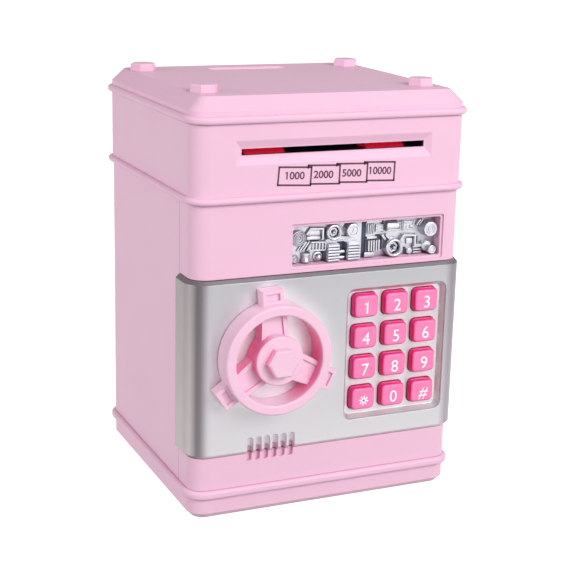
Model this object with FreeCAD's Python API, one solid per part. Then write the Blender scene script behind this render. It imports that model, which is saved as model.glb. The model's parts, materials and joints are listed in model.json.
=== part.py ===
# Toy safe coin bank: an upright plastic safe with a hinged keypad door, a turning hand wheel
# that throws a latch bolt, a motor-driven banknote slot and a coin slot in the lid.
# Millimetres, +Z up, the front faces -Y. The origin is the centre of the footprint on the floor.
import FreeCAD, Part
import math
import os

V = FreeCAD.Vector
AXES = {"x": V(1, 0, 0), "y": V(0, 1, 0), "z": V(0, 0, 1)}

# ---- casing --------------------------------------------------------------------------------
LOWER_X, LOWER_Y = 65.7, 60.75          # half width and half depth of the lower casing
HEAD_X, HEAD_Y = 66.1, 61.25            # the same for the head and lid
CORNER = 8.0                            # radius of the upright corners
WALL = 2.2
FRAME_WALL = 2.6                        # the front frame is a little thicker than the shells
JOINT_GAP = 0.1                         # gap between two casing mouldings
TOP_Z = 190.0
LID_EDGE_Z, LID_INSET = 184.2, 5.5      # the lid's sloped rim starts here and comes in this far
BEAD = 2.0                              # how far the three beads stand out
BEAD_ROUND = 1.45
BASE_BEAD = (10.0, 13.9)
NECK_BEAD = (144.4, 147.5)
LID_BEAD = (178.7, 182.1)
FOOT_PROUD = 0.4
BASE_FLOOR = (FOOT_PROUD, FOOT_PROUD + 2.2)
BASE_CHAMFER = 2.5
REST_RIM = (3.6, 2.4)                   # inset and width of the rim that the bank stands on
SEAM_Y = -43.0                          # front edge of the rear shell
SEAM_BEVEL = 0.45                       # bevel along the upright seam between frame and shell
BULKHEAD = (-43.2, -41.0)               # plate behind the door
CASH_FLOOR = (24.0, 25.8)

# ---- door ----------------------------------------------------------------------------------
PANEL_T = 1.9                           # silver panel, proud of the casing
PANEL_FRONT = -(LOWER_Y + PANEL_T)
PANEL_BEVEL = 1.5                       # sloped top and bottom edges of the panel
DOOR_Z = (29.8, 111.2)
DOOR_GAP = 0.4                          # to the frame above and below
DOOR_BACK = -43.6
BARREL_R = 9.5                          # the hinge side is rounded about the hinge axis
HINGE_X = LOWER_X + PANEL_T - BARREL_R
HINGE_Y = PANEL_FRONT + BARREL_R
BARREL_RELIEF = 10.2
PIN_R, PIN_DEPTH = 2.0, 6.0
SEAT_PLAY = 0.02                        # radial play of a pin in its fixed seat
RUNNING_PLAY = 0.08                     # radial play of a turning or sliding fit

# ---- keypad --------------------------------------------------------------------------------
RECESS_X, RECESS_Z = (7.3, 58.5), (39.7, 102.2)
RECESS_FLOOR_Y = -59.6
RECESS_SLOPE = 2.0                      # the bay walls slope in by this much to the floor
RECESS_FLOOR_T = 1.1
KEY_NAMES = ("1", "2", "3", "4", "5", "6", "7", "8", "9", "star", "0", "hash")
KEY_X0, KEY_PITCH_X = 17.0, 15.45
KEY_Z0, KEY_PITCH_Z = 93.8, -14.75
KEY_W, KEY_H, KEY_CORNER = 12.1, 10.9, 2.2
KEY_FRONT = -63.4
KEY_GAP = 0.35
KEY_FLANGE = (0.9, 1.0)                 # width and thickness of the rim that keeps a key in
MEMBRANE_Y = (-54.9, -53.7)

# ---- hand wheel and lock -------------------------------------------------------------------
WHEEL_X, WHEEL_Z = -30.0, 76.1
WHEEL_LEAN = 4.0                        # the top spoke leans this many degrees to the left
RIM_R, RIM_IN, RIM_FRONT = 25.0, 20.4, 11.5     # fronts are measured from the panel
RIM_BACK = 0.5
SPOKE_W, SPOKE_FRONT = (13.4, 11.2), 7.0        # widths at the hub and at the rim
FLANGE_W, FLANGE_H = 2.2, 0.8           # raised edges of a spoke
TAB_R, TAB_W, TAB_FRONT = 31.0, 9.9, 7.0
HUB_R, HEX_R, HEX_FRONT = 11.3, 7.1, 16.0
SHAFT_R = 4.0
CRANK_R, CRANK_PIN_R = 5.0, 1.2
CRANK_START = 60.0                      # angle of the crank pin with the bolt drawn back
BOLT_Y = (-49.0, -46.8)
BOLT_Z = (73.1, 79.1)
BOLT_TIP = -54.8
BOLT_THROW = 5.0
STRIKE_X = (-58.3, -56.1)
PLUNGER_X, PLUNGER_Y, PLUNGER_R = -49.0, -47.9, 1.8

# ---- window, banknote slot and lid ---------------------------------------------------------
WINDOW_X, WINDOW_Z = (-20.3, 56.2), (113.1, 133.5)
WINDOW_RIM = 1.2
RELIEF_Y = (-54.4, -53.4)               # back plate of the machinery relief
RELIEF_ROUNDS = (                       # x, z, radius and height of the ports and knobs
    (-14.7, 126.1, 3.6, 2.4), (2.4, 127.8, 3.8, 3.2), (11.3, 128.7, 3.3, 4.2),
    (32.4, 118.8, 4.3, 4.6), (50.6, 126.4, 3.7, 5.0), (51.8, 116.6, 2.1, 5.4))
RELIEF_BLOCKS = (                       # x, z, width, tallness and height of the housings
    (-6.3, 129.4, 8, 1.6, 1.5), (-7.3, 125.7, 6.6, 2.4, 1.6), (-5.4, 121.9, 9.6, 4.0, 2.0),
    (1.9, 118.5, 6.0, 8.0, 4.0), (12.0, 118.6, 6.4, 8.0, 4.0), (22.4, 119.8, 6.6, 5.2, 2.5),
    (-10.7, 116.9, 5.0, 4.6, 2.5), (32.1, 128.4, 6.4, 4.8, 3.0), (41.0, 122.0, 6.6, 3.4, 1.8))
NOTE_RECESS_X, NOTE_RECESS_Z = (-47.3, 47.5), (160.8, 171.5)
NOTE_SLOT_X, NOTE_SLOT_Z = (-44.0, 44.2), (165.0, 167.8)
LID_BOLTS = ((-54.5, -41.6), (51.4, -41.6), (-54.5, 41.3), (53.4, 41.0))   # centres
LID_BOLT_R, LID_BOLT_H = 6.3, 3.6
COIN_Y = 41.3
COIN_DISH = (21.0, 4.6, 1.8)            # half length, half width, depth
COIN_SLOT = (16.0, 2.2)                 # half length, half width
VENT_X0, VENT_PITCH, VENT_COUNT, VENT_W = -38.7, 4.07, 6, 2.9
VENT_TOP, VENT_FOOT = 37.7, 25.7
VENT_FLOOR_Y = -58.95                   # bottom of the vent grooves
VENT_PAD_X, VENT_PAD_Z = (-42.5, -14.0), (32.2, 40.2)
SPEAKER_Z = 48.6

# ---- note feeder ---------------------------------------------------------------------------
ROLLER_Y, DRIVE_Z, IDLER_Z = -46.0, 160.1, 172.7
TYRE_R, TYRE_X = 6.15, (20.0, 39.0)
ROLLER_SHAFT_R = 1.5
FEEDER_SIDE = (47.0, 50.0)
GEAR_X = (51.5, 55.5)
GEAR_MODULE, GEAR_TEETH, PINION_TEETH = 0.8, 24, 10
MESH_ANGLE = math.radians(-32.5)        # direction from the drive gear to the motor pinion
MESH_DISTANCE = GEAR_MODULE * (GEAR_TEETH + PINION_TEETH) / 2
MOTOR_Y = ROLLER_Y + MESH_DISTANCE * math.cos(MESH_ANGLE)
MOTOR_Z = DRIVE_Z + MESH_DISTANCE * math.sin(MESH_ANGLE)

# ---- battery box and fixings ---------------------------------------------------------------
CELL_R, CELL_LENGTH, CELL_PITCH = 7.1, 50.0, 15.2
BATTERY_X, BATTERY_Y, BATTERY_TOP = 29.0, 24.2, 19.6
BATTERY_WALL = 1.6
FOOT_XY, FOOT_R = (44.0, 42.0), 5.0
SCREW_XY = (54.5, 51.0)
SCREW_R, SCREW_HEAD_R = 1.4, 2.8


def block(low, high):
    """Plain box between two corners."""
    return Part.makeBox(high[0] - low[0], high[1] - low[1], high[2] - low[2], V(*low))


def rounded(low, high, radius, axis):
    """Box between two corners with its four edges along one axis rounded."""
    shape = block(low, high)
    along = AXES[axis]
    edges = [e for e in shape.Edges if abs(e.tangentAt(e.FirstParameter).dot(along)) > 0.99]
    return shape.makeFillet(radius, edges)


def cylinder(radius, base, axis, length):
    """Round bar from a base point along +x, +y or +z."""
    return Part.makeCylinder(radius, length, V(*base), AXES[axis])


def fuse(first, *others):
    return first.fuse(list(others)).removeSplitter()


def cut(first, *others):
    return first.cut(list(others))


def slab(half_x, half_y, z0, z1, radius):
    """Upright prism with the rounded outline of the casing."""
    return rounded((-half_x, -half_y, z0), (half_x, half_y, z1), radius, "z")


def ring(half_x, half_y, z0, z1, wall, radius=CORNER):
    """Wall that follows the casing outline."""
    inner = slab(half_x - wall, half_y - wall, z0 - 1, z1 + 1, radius - wall)
    return cut(slab(half_x, half_y, z0, z1, radius), inner)


def level_edges(shape):
    """Edges that lie level, so the top and bottom rims of a slab."""
    return [e for e in shape.Edges if abs(e.BoundBox.ZLength) < 1e-6]


def bead(half_x, half_y, span, wall):
    """Rounded bead round the casing, with the wall behind it."""
    full = slab(half_x + BEAD, half_y + BEAD, span[0], span[1], CORNER + BEAD)
    full = full.makeFillet(BEAD_ROUND, level_edges(full))
    inner = slab(half_x - wall, half_y - wall, span[0] - 1, span[1] + 1, CORNER - wall)
    return cut(full, inner)


def polygon_prism(points, extrusion):
    """Prism over a closed outline of points."""
    return Part.Face(Part.makePolygon(points + [points[0]])).extrude(extrusion)


def four(x, y):
    """The four mirrored places of a corner fixing."""
    return [(sx * x, sy * y) for sx in (-1, 1) for sy in (-1, 1)]


def barrel(radius, z0, z1):
    """Cylinder about the door's hinge axis."""
    return cylinder(radius, (HINGE_X, HINGE_Y, z0), "z", z1 - z0)


# ---- casing pieces -------------------------------------------------------------------------
def base_tray():
    body = slab(LOWER_X, LOWER_Y, BASE_FLOOR[0], BASE_BEAD[1], CORNER)
    rim = [e for e in level_edges(body) if e.BoundBox.ZMax < 1]
    body = body.makeChamfer(BASE_CHAMFER, rim)
    inset = WALL
    body = cut(body, slab(LOWER_X - inset, LOWER_Y - inset, BASE_FLOOR[1], 20, CORNER - inset))
    lip = ring(LOWER_X - FRAME_WALL - 0.3, LOWER_Y - FRAME_WALL - 0.3, 6, 17, 1.6, CORNER - 3)
    rim_fill = ring(LOWER_X - 1, LOWER_Y - 1, 6, BASE_BEAD[1] - 1, 3, CORNER - 1)
    body = fuse(body, bead(LOWER_X, LOWER_Y, BASE_BEAD, WALL), rim_fill, lip)
    inset, width = REST_RIM
    rest_rim = ring(LOWER_X - inset, LOWER_Y - inset, 0, 1, width, CORNER - inset)
    body = fuse(body, rest_rim)
    side_x, side_y = BATTERY_X + BATTERY_WALL, BATTERY_Y + BATTERY_WALL
    top = BATTERY_TOP + BATTERY_WALL
    box = block((-side_x, -side_y, BASE_FLOOR[0] + 1), (side_x, side_y, top))
    posts = [cylinder(4.6, (x, y, 2), "z", 15.1) for x, y in four(*SCREW_XY)]
    floor_posts = [cylinder(2.5, (x, y, 2), "z", CASH_FLOOR[0] - 2) for x, y in four(38, 36)]
    body = fuse(body, box, *posts, *floor_posts)
    cover_x, cover_y = BATTERY_X + 0.9, BATTERY_Y + 0.9
    holes = [
        block((-BATTERY_X, -BATTERY_Y, 0), (BATTERY_X, BATTERY_Y, BATTERY_TOP)),
        rounded((-cover_x, -cover_y, 0), (cover_x, cover_y, 2.6), 2, "z"),
    ]
    for x, y in four(*SCREW_XY):
        holes.append(cylinder(SCREW_HEAD_R + 0.3, (x, y, 0), "z", 5))
        holes.append(cylinder(SCREW_R + 0.3, (x, y, 0), "z", 20))
    holes += [cylinder(FOOT_R + 0.1, (x, y, 0), "z", 2.0) for x, y in four(*FOOT_XY)]
    return cut(body, *holes)


def rubber_feet():
    feet = [cylinder(FOOT_R, (x, y, 0), "z", 1.95) for x, y in four(*FOOT_XY)]
    return Part.makeCompound([f.makeFillet(0.5, [f.Edges[2]]) for f in feet])


def case_screws():
    screws = []
    for x, y in four(*SCREW_XY):
        head = cylinder(SCREW_HEAD_R, (x, y, 3.1), "z", 1.85)
        cross = fuse(block((x - 1.7, y - 0.35, 3), (x + 1.7, y + 0.35, 4)),
                     block((x - 0.35, y - 1.7, 3), (x + 0.35, y + 1.7, 4)))
        screws.append(cut(fuse(head, cylinder(SCREW_R, (x, y, 4), "z", 20)), cross))
    return Part.makeCompound(screws)


def battery_cover():
    half_x, half_y = BATTERY_X + 0.65, BATTERY_Y + 0.65
    plate = rounded((-half_x, -half_y, BASE_FLOOR[0]), (half_x, half_y, 2.5), 2, "z")
    grips = [rounded((-8, y - 0.6, 0.3), (8, y + 0.6, 1.2), 0.5, "z") for y in (14, 17, 20)]
    return cut(plate, *grips)


def cell_rows():
    return [(row * CELL_PITCH, 3.2 + CELL_R) for row in (-1, 0, 1)]


def battery_cells():
    cells = []
    for y, z in cell_rows():
        can = cylinder(CELL_R, (-CELL_LENGTH / 2, y, z), "x", CELL_LENGTH - 1.2)
        can = can.makeFillet(0.6, [can.Edges[0], can.Edges[2]])
        cells.append(fuse(can, cylinder(2.6, (CELL_LENGTH / 2 - 1.6, y, z), "x", 1.6)))
    return Part.makeCompound(cells)


def battery_contacts():
    plates = []
    for side in (-1, 1):
        for y, z in cell_rows():
            outer = side * (BATTERY_X - 0.2)
            inner = side * (BATTERY_X - 0.9)
            x0, x1 = min(outer, inner), max(outer, inner)
            plates.append(rounded((x0, y - 5, z - 5), (x1, y + 5, z + 5), 1.5, "x"))
    return Part.makeCompound(plates)


def screw_boss(x, y, top, z0=17.3):
    """Square boss that joins a corner screw to the casing walls."""
    sx, sy = math.copysign(1, x), math.copysign(1, y)
    x0, x1 = sorted((x - sx * 4.2, sx * (LOWER_X - 1)))
    y0, y1 = sorted((y - sy * 4.2, sy * (LOWER_Y - 1)))
    return block((x0, y0, z0), (x1, y1, top))


def rear_shell():
    z0, z1 = BASE_BEAD[1] + JOINT_GAP, NECK_BEAD[0] - JOINT_GAP
    wall = ring(LOWER_X, LOWER_Y, z0, z1, WALL)
    bosses = [screw_boss(sx * SCREW_XY[0], SCREW_XY[1], 34) for sx in (-1, 1)]
    inside = slab(LOWER_X - 1, LOWER_Y - 1, z0, z1, CORNER - 1)
    ledge = ring(LOWER_X - 1, LOWER_Y - 1, CASH_FLOOR[0] - 2.0, CASH_FLOOR[0] - 0.1, 3.2, CORNER - 1)
    ledge = ledge.common(block((-80, BULKHEAD[1] + 0.3, 0), (80, 80, 200)))
    wall = fuse(wall, *[b.common(inside) for b in bosses], ledge)
    pilots = [cylinder(SCREW_R + SEAT_PLAY, (sx * SCREW_XY[0], SCREW_XY[1], 15), "z", 12)
              for sx in (-1, 1)]
    keep = block((-80, SEAM_Y, 0), (80, 80, 200))
    return cut(wall.common(keep), *pilots, *seam_bevels(SEAM_Y, z0, z1))


def groove(x, y0, y1, z0, z1):
    """Round-ended upright groove of the vent's width."""
    return rounded((x - VENT_W / 2, y0, z0), (x + VENT_W / 2, y1, z1), VENT_W / 2 - 0.01, "y")


def vent_places():
    return [VENT_X0 + index * VENT_PITCH for index in range(VENT_COUNT)]


def sill_grooves():
    """Grooves that carry the vents down into the sill below the door."""
    return [groove(x, -LOWER_Y - 1, VENT_FLOOR_Y, VENT_FOOT, DOOR_Z[0] + 5) for x in vent_places()]


def seam_bevels(y, z0, z1):
    """Two upright wedges that bevel the outer edge of the casing at the side seam."""
    wedges = []
    for side in (-1, 1):
        x = side * LOWER_X
        points = [V(x - side * SEAM_BEVEL, y, z0 - 1), V(x + side, y - SEAM_BEVEL - 1, z0 - 1),
                  V(x + side, y + SEAM_BEVEL + 1, z0 - 1)]
        wedges.append(polygon_prism(points, V(0, 0, z1 - z0 + 2)))
    return wedges


def window_box():
    """Walls that box in the window behind the front of the casing."""
    outer = block((WINDOW_X[0], -LOWER_Y + 1, WINDOW_Z[0]), (WINDOW_X[1], RELIEF_Y[1], WINDOW_Z[1]))
    inner = block((WINDOW_X[0] + WINDOW_RIM, -70, WINDOW_Z[0] + WINDOW_RIM),
                  (WINDOW_X[1] - WINDOW_RIM, 0, WINDOW_Z[1] - WINDOW_RIM))
    return cut(outer, inner)


def window_cut():
    """Window opening with a narrow stepped rim."""
    front = -LOWER_Y
    rim = rounded((WINDOW_X[0], front - 1, WINDOW_Z[0]), (WINDOW_X[1], front + 0.9, WINDOW_Z[1]),
                  1.0, "y")
    through = rounded((WINDOW_X[0] + WINDOW_RIM, front - 1, WINDOW_Z[0] + WINDOW_RIM),
                      (WINDOW_X[1] - WINDOW_RIM, front + 4, WINDOW_Z[1] - WINDOW_RIM), 0.6, "y")
    return [rim, through]


def front_frame():
    z0, z1 = BASE_BEAD[1] + JOINT_GAP, NECK_BEAD[0] - JOINT_GAP
    sill_top, head_bottom = DOOR_Z[0] - DOOR_GAP, DOOR_Z[1] + DOOR_GAP
    front_half = block((-80, -80, 0), (80, BULKHEAD[0], 200))
    walls = ring(LOWER_X, LOWER_Y, z0, z1, FRAME_WALL).common(front_half)
    door_space = block((-80, -80, sill_top), (80, BULKHEAD[0], head_bottom))
    walls = cut(walls, door_space)
    full = slab(LOWER_X, LOWER_Y, z0, z1, CORNER).common(front_half)
    sill = full.common(block((-80, -80, sill_top - 2.4), (80, 0, sill_top)))
    groove_back = block((VENT_PAD_X[0], -LOWER_Y + 1, VENT_FOOT - 1.5),
                        (VENT_PAD_X[1], VENT_FLOOR_Y + 1.6, sill_top))
    lintel = full.common(block((-80, -80, head_bottom), (80, 0, head_bottom + 1.4)))
    plate = block((-LOWER_X + 2.5, BULKHEAD[0] - 1.8, 17.4), (LOWER_X - 2.5, BULKHEAD[1], z1 - 2.8))
    plate = cut(plate, block((-80, -80, sill_top), (80, BULKHEAD[0], head_bottom)))
    jamb = block((HINGE_X, -50, sill_top), (LOWER_X, BULKHEAD[0] + 0.1, head_bottom)).common(full)
    strike = rounded((STRIKE_X[0], -50.4, 69.5), (STRIKE_X[1], BULKHEAD[1], 82.7), 1.0, "x")
    bosses = [screw_boss(sx * SCREW_XY[0], -SCREW_XY[1], 29) for sx in (-1, 1)]
    inside = slab(LOWER_X - 1, LOWER_Y - 1, z0, z1, CORNER - 1)
    pin_boss = cylinder(3.6, (HINGE_X, HINGE_Y, head_bottom), "z", 2.7)
    pin_boss_low = cylinder(3.6, (HINGE_X, HINGE_Y, sill_top - 10), "z", 10)
    body = fuse(walls, sill, groove_back, lintel, plate, jamb, strike, pin_boss, pin_boss_low, window_box(),
                *[b.common(inside) for b in bosses])
    pilots = [cylinder(SCREW_R + SEAT_PLAY, (sx * SCREW_XY[0], -SCREW_XY[1], 15), "z", 12)
              for sx in (-1, 1)]
    seat_r = PIN_R + SEAT_PLAY
    pin_seats = [cylinder(seat_r, (HINGE_X, HINGE_Y, head_bottom - 1), "z", 3.5),
                 cylinder(seat_r, (HINGE_X, HINGE_Y, sill_top - 7.4), "z", 8)]
    relief = barrel(BARREL_RELIEF, sill_top, head_bottom)
    cash_door = rounded((-53, -80, 35), (44, 0, 107), 4, "y")
    cash_door = cash_door.common(block((-80, BULKHEAD[0] - 0.5, 0), (80, 0, 200)))
    cash_door = cut(cash_door, block((-60, -60, 66), (-51, 0, 86)))
    keeper = rounded((STRIKE_X[0] - 1, BOLT_Y[0] - 0.5, BOLT_Z[0] - 0.6),
                     (STRIKE_X[1] + 1, BOLT_Y[1] + 0.5, BOLT_Z[1] + 0.6), 0.5, "x")
    note_drop = block((-50, BULKHEAD[0] - 3, 122), (50, 0, z1 + 1))
    seam = seam_bevels(SEAM_Y, z0, z1)
    return cut(body, relief, cash_door, keeper, note_drop, *pilots, *pin_seats, *window_cut(),
               *sill_grooves(), *seam)


def cash_floor():
    half_x, half_y = LOWER_X - WALL - 0.4, LOWER_Y - WALL - 0.4
    plate = rounded((-half_x, BULKHEAD[1] + 0.3, CASH_FLOOR[0]), (half_x, half_y, CASH_FLOOR[1]),
                    CORNER - WALL - 0.6, "z")
    corner_x, corner_y = SCREW_XY[0] - 5.5, SCREW_XY[1] - 5.5
    notches = [block((corner_x, corner_y, 20), (80, 70, 30)),
               block((-80, corner_y, 20), (-corner_x, 70, 30))]
    return cut(plate, *notches)


def head_housing():
    walls = ring(HEAD_X, HEAD_Y, NECK_BEAD[0], LID_BEAD[0] - JOINT_GAP, WALL)
    lip = ring(LOWER_X - FRAME_WALL - 0.3, LOWER_Y - FRAME_WALL - 0.3, NECK_BEAD[0] - 2.5,
               NECK_BEAD[1], 1.6, CORNER - 3)
    joiner = ring(HEAD_X - 1, HEAD_Y - 1, NECK_BEAD[0], NECK_BEAD[1], 5, CORNER - 1)
    lip = cut(lip, block((-53, -80, 0), (53, -40, 200)))
    walls = fuse(walls, bead(HEAD_X, HEAD_Y, NECK_BEAD, WALL), joiner, lip)
    recess = note_recess()
    slot = block((NOTE_SLOT_X[0], -80, NOTE_SLOT_Z[0]), (NOTE_SLOT_X[1], -50, NOTE_SLOT_Z[1]))
    return cut(walls, recess, slot)


def note_recess():
    """Tapered recess that leads a banknote into the slot."""
    front, back = -HEAD_Y - 0.01, -HEAD_Y + 1.5
    outer = [(NOTE_RECESS_X[0], NOTE_RECESS_Z[0]), (NOTE_RECESS_X[1], NOTE_RECESS_Z[0]),
             (NOTE_RECESS_X[1], NOTE_RECESS_Z[1]), (NOTE_RECESS_X[0], NOTE_RECESS_Z[1])]
    inner = [(NOTE_SLOT_X[0] - 0.6, NOTE_SLOT_Z[0] - 0.9), (NOTE_SLOT_X[1] + 0.6, NOTE_SLOT_Z[0] - 0.9),
             (NOTE_SLOT_X[1] + 0.6, NOTE_SLOT_Z[1] + 0.5), (NOTE_SLOT_X[0] - 0.6, NOTE_SLOT_Z[1] + 0.5)]
    wires = []
    for outline, y in ((outer, front), (inner, back)):
        points = [V(x, y, z) for x, z in outline]
        wires.append(Part.makePolygon(points + [points[0]]))
    return Part.makeLoft(wires, True, True)


def outline_wire(half_x, half_y, z, radius):
    """Rounded outline of the casing at one height."""
    faces = slab(half_x, half_y, z - 1, z, radius).Faces
    return [face for face in faces if abs(face.CenterOfMass.z - z) < 1e-6][0].OuterWire


def lid_form():
    """Solid form of the lid above its bead: an upright band and a sloped rim."""
    low = slab(HEAD_X, HEAD_Y, LID_BEAD[0], LID_EDGE_Z, CORNER)
    slope = Part.makeLoft([outline_wire(HEAD_X, HEAD_Y, LID_EDGE_Z, CORNER),
                           outline_wire(HEAD_X - LID_INSET, HEAD_Y - LID_INSET, TOP_Z, 4.0)],
                          True, True)
    return fuse(low, slope)


def top_cover():
    body = fuse(lid_form(), bead(HEAD_X, HEAD_Y, LID_BEAD, WALL))
    body = cut(body, slab(HEAD_X - WALL, HEAD_Y - WALL, 170, LID_EDGE_Z, CORNER - WALL),
               slab(HEAD_X - LID_INSET - 1.6, HEAD_Y - LID_INSET - 1.6, 180, TOP_Z - WALL, 4))
    length, width, depth = COIN_DISH
    dish = rounded((-length, COIN_Y - width, TOP_Z - depth), (length, COIN_Y + width, TOP_Z + 2),
                   width - 0.1, "z")
    dish = dish.makeFillet(1.0, [e for e in level_edges(dish) if e.BoundBox.ZMax < TOP_Z])
    pad = rounded((-length - 2, COIN_Y - width - 2, TOP_Z - 4.2),
                  (length + 2, COIN_Y + width + 2, TOP_Z - 1), 4, "z")
    half_length, half_width = COIN_SLOT
    slot = rounded((-half_length, COIN_Y - half_width, TOP_Z - 8),
                   (half_length, COIN_Y + half_width, TOP_Z + 2), 1.2, "z")
    seats = [cylinder(2.6, (x, y, TOP_Z - 2), "z", 4) for x, y in LID_BOLTS]
    return cut(fuse(body, pad), dish, slot, *seats)


def top_hex_bolts():
    bolts = []
    for x, y in LID_BOLTS:
        points = [V(x + LID_BOLT_R * math.cos(math.radians(a)),
                    y + LID_BOLT_R * math.sin(math.radians(a)), TOP_Z + 0.02)
                  for a in range(0, 360, 60)]
        head = polygon_prism(points, V(0, 0, LID_BOLT_H))
        rim = [e for e in head.Edges if e.BoundBox.ZMin > TOP_Z + LID_BOLT_H - 0.1]
        head = head.makeChamfer(0.7, rim)
        bolts.append(fuse(head, cylinder(2.5, (x, y, TOP_Z - 1.9), "z", 3)))
    return Part.makeCompound(bolts)


def coin_chute():
    outer = rounded((-19, COIN_Y - 4.2, 150), (19, COIN_Y + 4.2, TOP_Z - 4.4), 1.5, "z")
    inner = block((-17.4, COIN_Y - 2.7, 140), (17.4, COIN_Y + 2.7, 200))
    return cut(outer, inner)


def machinery_plate():
    """Relief of make-believe machinery that fills the window: ports, knobs and ribbed blocks."""
    play = WINDOW_RIM + 0.1
    x0, x1 = WINDOW_X[0] + play, WINDOW_X[1] - play
    z0, z1 = WINDOW_Z[0] + play, WINDOW_Z[1] - play
    front = RELIEF_Y[0]
    relief = [block((x0, front, z0), (x1, RELIEF_Y[1], z1))]
    for x, z, radius, height in RELIEF_ROUNDS:
        relief.append(cylinder(radius, (x, front - height, z), "y", height + 0.5))
    for x, z, width, tall, height in RELIEF_BLOCKS:
        relief.append(block((x - width / 2, front - height, z - tall / 2),
                            (x + width / 2, front + 0.5, z + tall / 2)))
    return fuse(*relief)


# ---- note feeder ---------------------------------------------------------------------------
def feeder_frame():
    """Black guide with an upper and a lower plate between two side cheeks."""
    x_in, x_out = FEEDER_SIDE
    front, back = -HEAD_Y + WALL + 0.3, -24.0
    cheeks = [block((x0, front, 147.6), (x1, back, 178.2)) for x0, x1 in
              ((x_in, x_out), (-x_out, -x_in))]
    lower = block((-x_in - 1, front, 162.2), (x_in + 1, back - 6, 164.2))
    upper = block((-x_in - 1, front, 168.7), (x_in + 1, back - 6, 170.7))
    frame = fuse(cheeks[0], cheeks[1], lower, upper)
    openings = []
    for sx in (-1, 1):
        x0, x1 = sorted((sx * (TYRE_X[0] - 1), sx * (TYRE_X[1] + 1)))
        openings.append(block((x0, ROLLER_Y - 7, 160), (x1, ROLLER_Y + 7, 172.5)))
    for z in (DRIVE_Z, IDLER_Z):
        openings.append(cylinder(ROLLER_SHAFT_R + RUNNING_PLAY, (-60, ROLLER_Y, z), "x", 120))
    openings.append(cylinder(2.3, (40, MOTOR_Y, MOTOR_Z), "x", 20))
    return cut(frame, *openings)


def roller_shaft(z, right):
    return cylinder(ROLLER_SHAFT_R, (-51, ROLLER_Y, z), "x", right + 51)


def roller_tyres(z):
    """Two rubber tyres on one shaft, each with shallow grip grooves."""
    tyres = []
    for x0 in (-TYRE_X[1], TYRE_X[0]):
        width = TYRE_X[1] - TYRE_X[0]
        tyre = cylinder(TYRE_R, (x0, ROLLER_Y, z), "x", width)
        bore = cylinder(ROLLER_SHAFT_R + SEAT_PLAY, (x0 - 1, ROLLER_Y, z), "x", width + 2)
        grooves = []
        for index in (1, 2, 3):
            x = x0 + index * width / 4
            groove = cylinder(TYRE_R + 1, (x - 0.5, ROLLER_Y, z), "x", 1.0)
            grooves.append(cut(groove, cylinder(TYRE_R - 0.6, (x - 1, ROLLER_Y, z), "x", 2)))
        tyres.append(cut(tyre, bore, *grooves))
    return Part.makeCompound(tyres)


def gear(teeth, centre_y, centre_z, first_tooth, bore_r):
    """Involute spur gear about an axis along x, with one tooth centred on first_tooth."""
    pressure = math.radians(20)
    pitch_r = GEAR_MODULE * teeth / 2
    base_r = pitch_r * math.cos(pressure)
    tip_r = pitch_r + 0.95 * GEAR_MODULE
    root_r = pitch_r - 1.25 * GEAR_MODULE
    backlash = 0.16
    half_pitch = math.pi / (2 * teeth) - backlash / (2 * pitch_r)
    start_r = max(base_r, root_r)

    def half_angle(radius):
        roll = math.acos(min(1.0, base_r / radius))
        return half_pitch + (math.tan(pressure) - pressure) - (math.tan(roll) - roll)

    radii = [start_r + (tip_r - start_r) * step / 4 for step in range(5)]
    outline = []
    for tooth in range(teeth):
        middle = first_tooth + 2 * math.pi * tooth / teeth
        rise = [(root_r, middle - half_angle(start_r))] + [(r, middle - half_angle(r)) for r in radii]
        fall = [(r, 2 * middle - a) for r, a in reversed(rise)]
        outline += rise + fall
    points = [V(GEAR_X[0], centre_y + r * math.cos(a), centre_z + r * math.sin(a)) for r, a in outline]
    wheel = polygon_prism(points, V(GEAR_X[1] - GEAR_X[0], 0, 0))
    return cut(wheel, cylinder(bore_r, (GEAR_X[0] - 1, centre_y, centre_z), "x", 10))


def drive_gear():
    return gear(GEAR_TEETH, ROLLER_Y, DRIVE_Z, MESH_ANGLE, ROLLER_SHAFT_R + SEAT_PLAY)


def motor_pinion():
    first = MESH_ANGLE + math.pi + math.pi / PINION_TEETH
    return gear(PINION_TEETH, MOTOR_Y, MOTOR_Z, first, 1.0 + SEAT_PLAY)


def motor_shaft():
    return cylinder(1.0, (FEEDER_SIDE[0] - 2.6, MOTOR_Y, MOTOR_Z), "x", 12)


def feed_motor():
    can = cylinder(7.0, (24, MOTOR_Y, MOTOR_Z), "x", 22.9)
    can = fuse(can, cylinder(2.2, (46, MOTOR_Y, MOTOR_Z), "x", 2.6))
    can = fuse(can, cylinder(2.4, (22.5, MOTOR_Y, MOTOR_Z), "x", 2))
    return cut(can, cylinder(1.0 + RUNNING_PLAY, (43, MOTOR_Y, MOTOR_Z), "x", 10))


def main_pcb():
    board = block((-34, 56.0, 150), (34, 57.5, 175))
    chips = [block((x, 53.6, z), (x + w, 56.1, z + h))
             for x, z, w, h in ((-28, 156, 12, 9), (-8, 153, 8, 8), (8, 160, 7, 6), (20, 153, 9, 12))]
    return fuse(board, *chips)


# ---- door pieces ---------------------------------------------------------------------------
def door_core(z0, z1):
    """Door form without the silver panel: left corner rounded, right side a hinge barrel."""
    body = rounded((-LOWER_X, -LOWER_Y, z0), (0, 0, z1), CORNER, "z")
    body = body.common(block((-80, -80, z0), (-20, DOOR_BACK + 1.8, z1)))
    middle = block((-20, -LOWER_Y, z0), (HINGE_X, DOOR_BACK + 1.8, z1))
    return fuse(body, middle, barrel(BARREL_R - PANEL_T, z0, z1))


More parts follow.
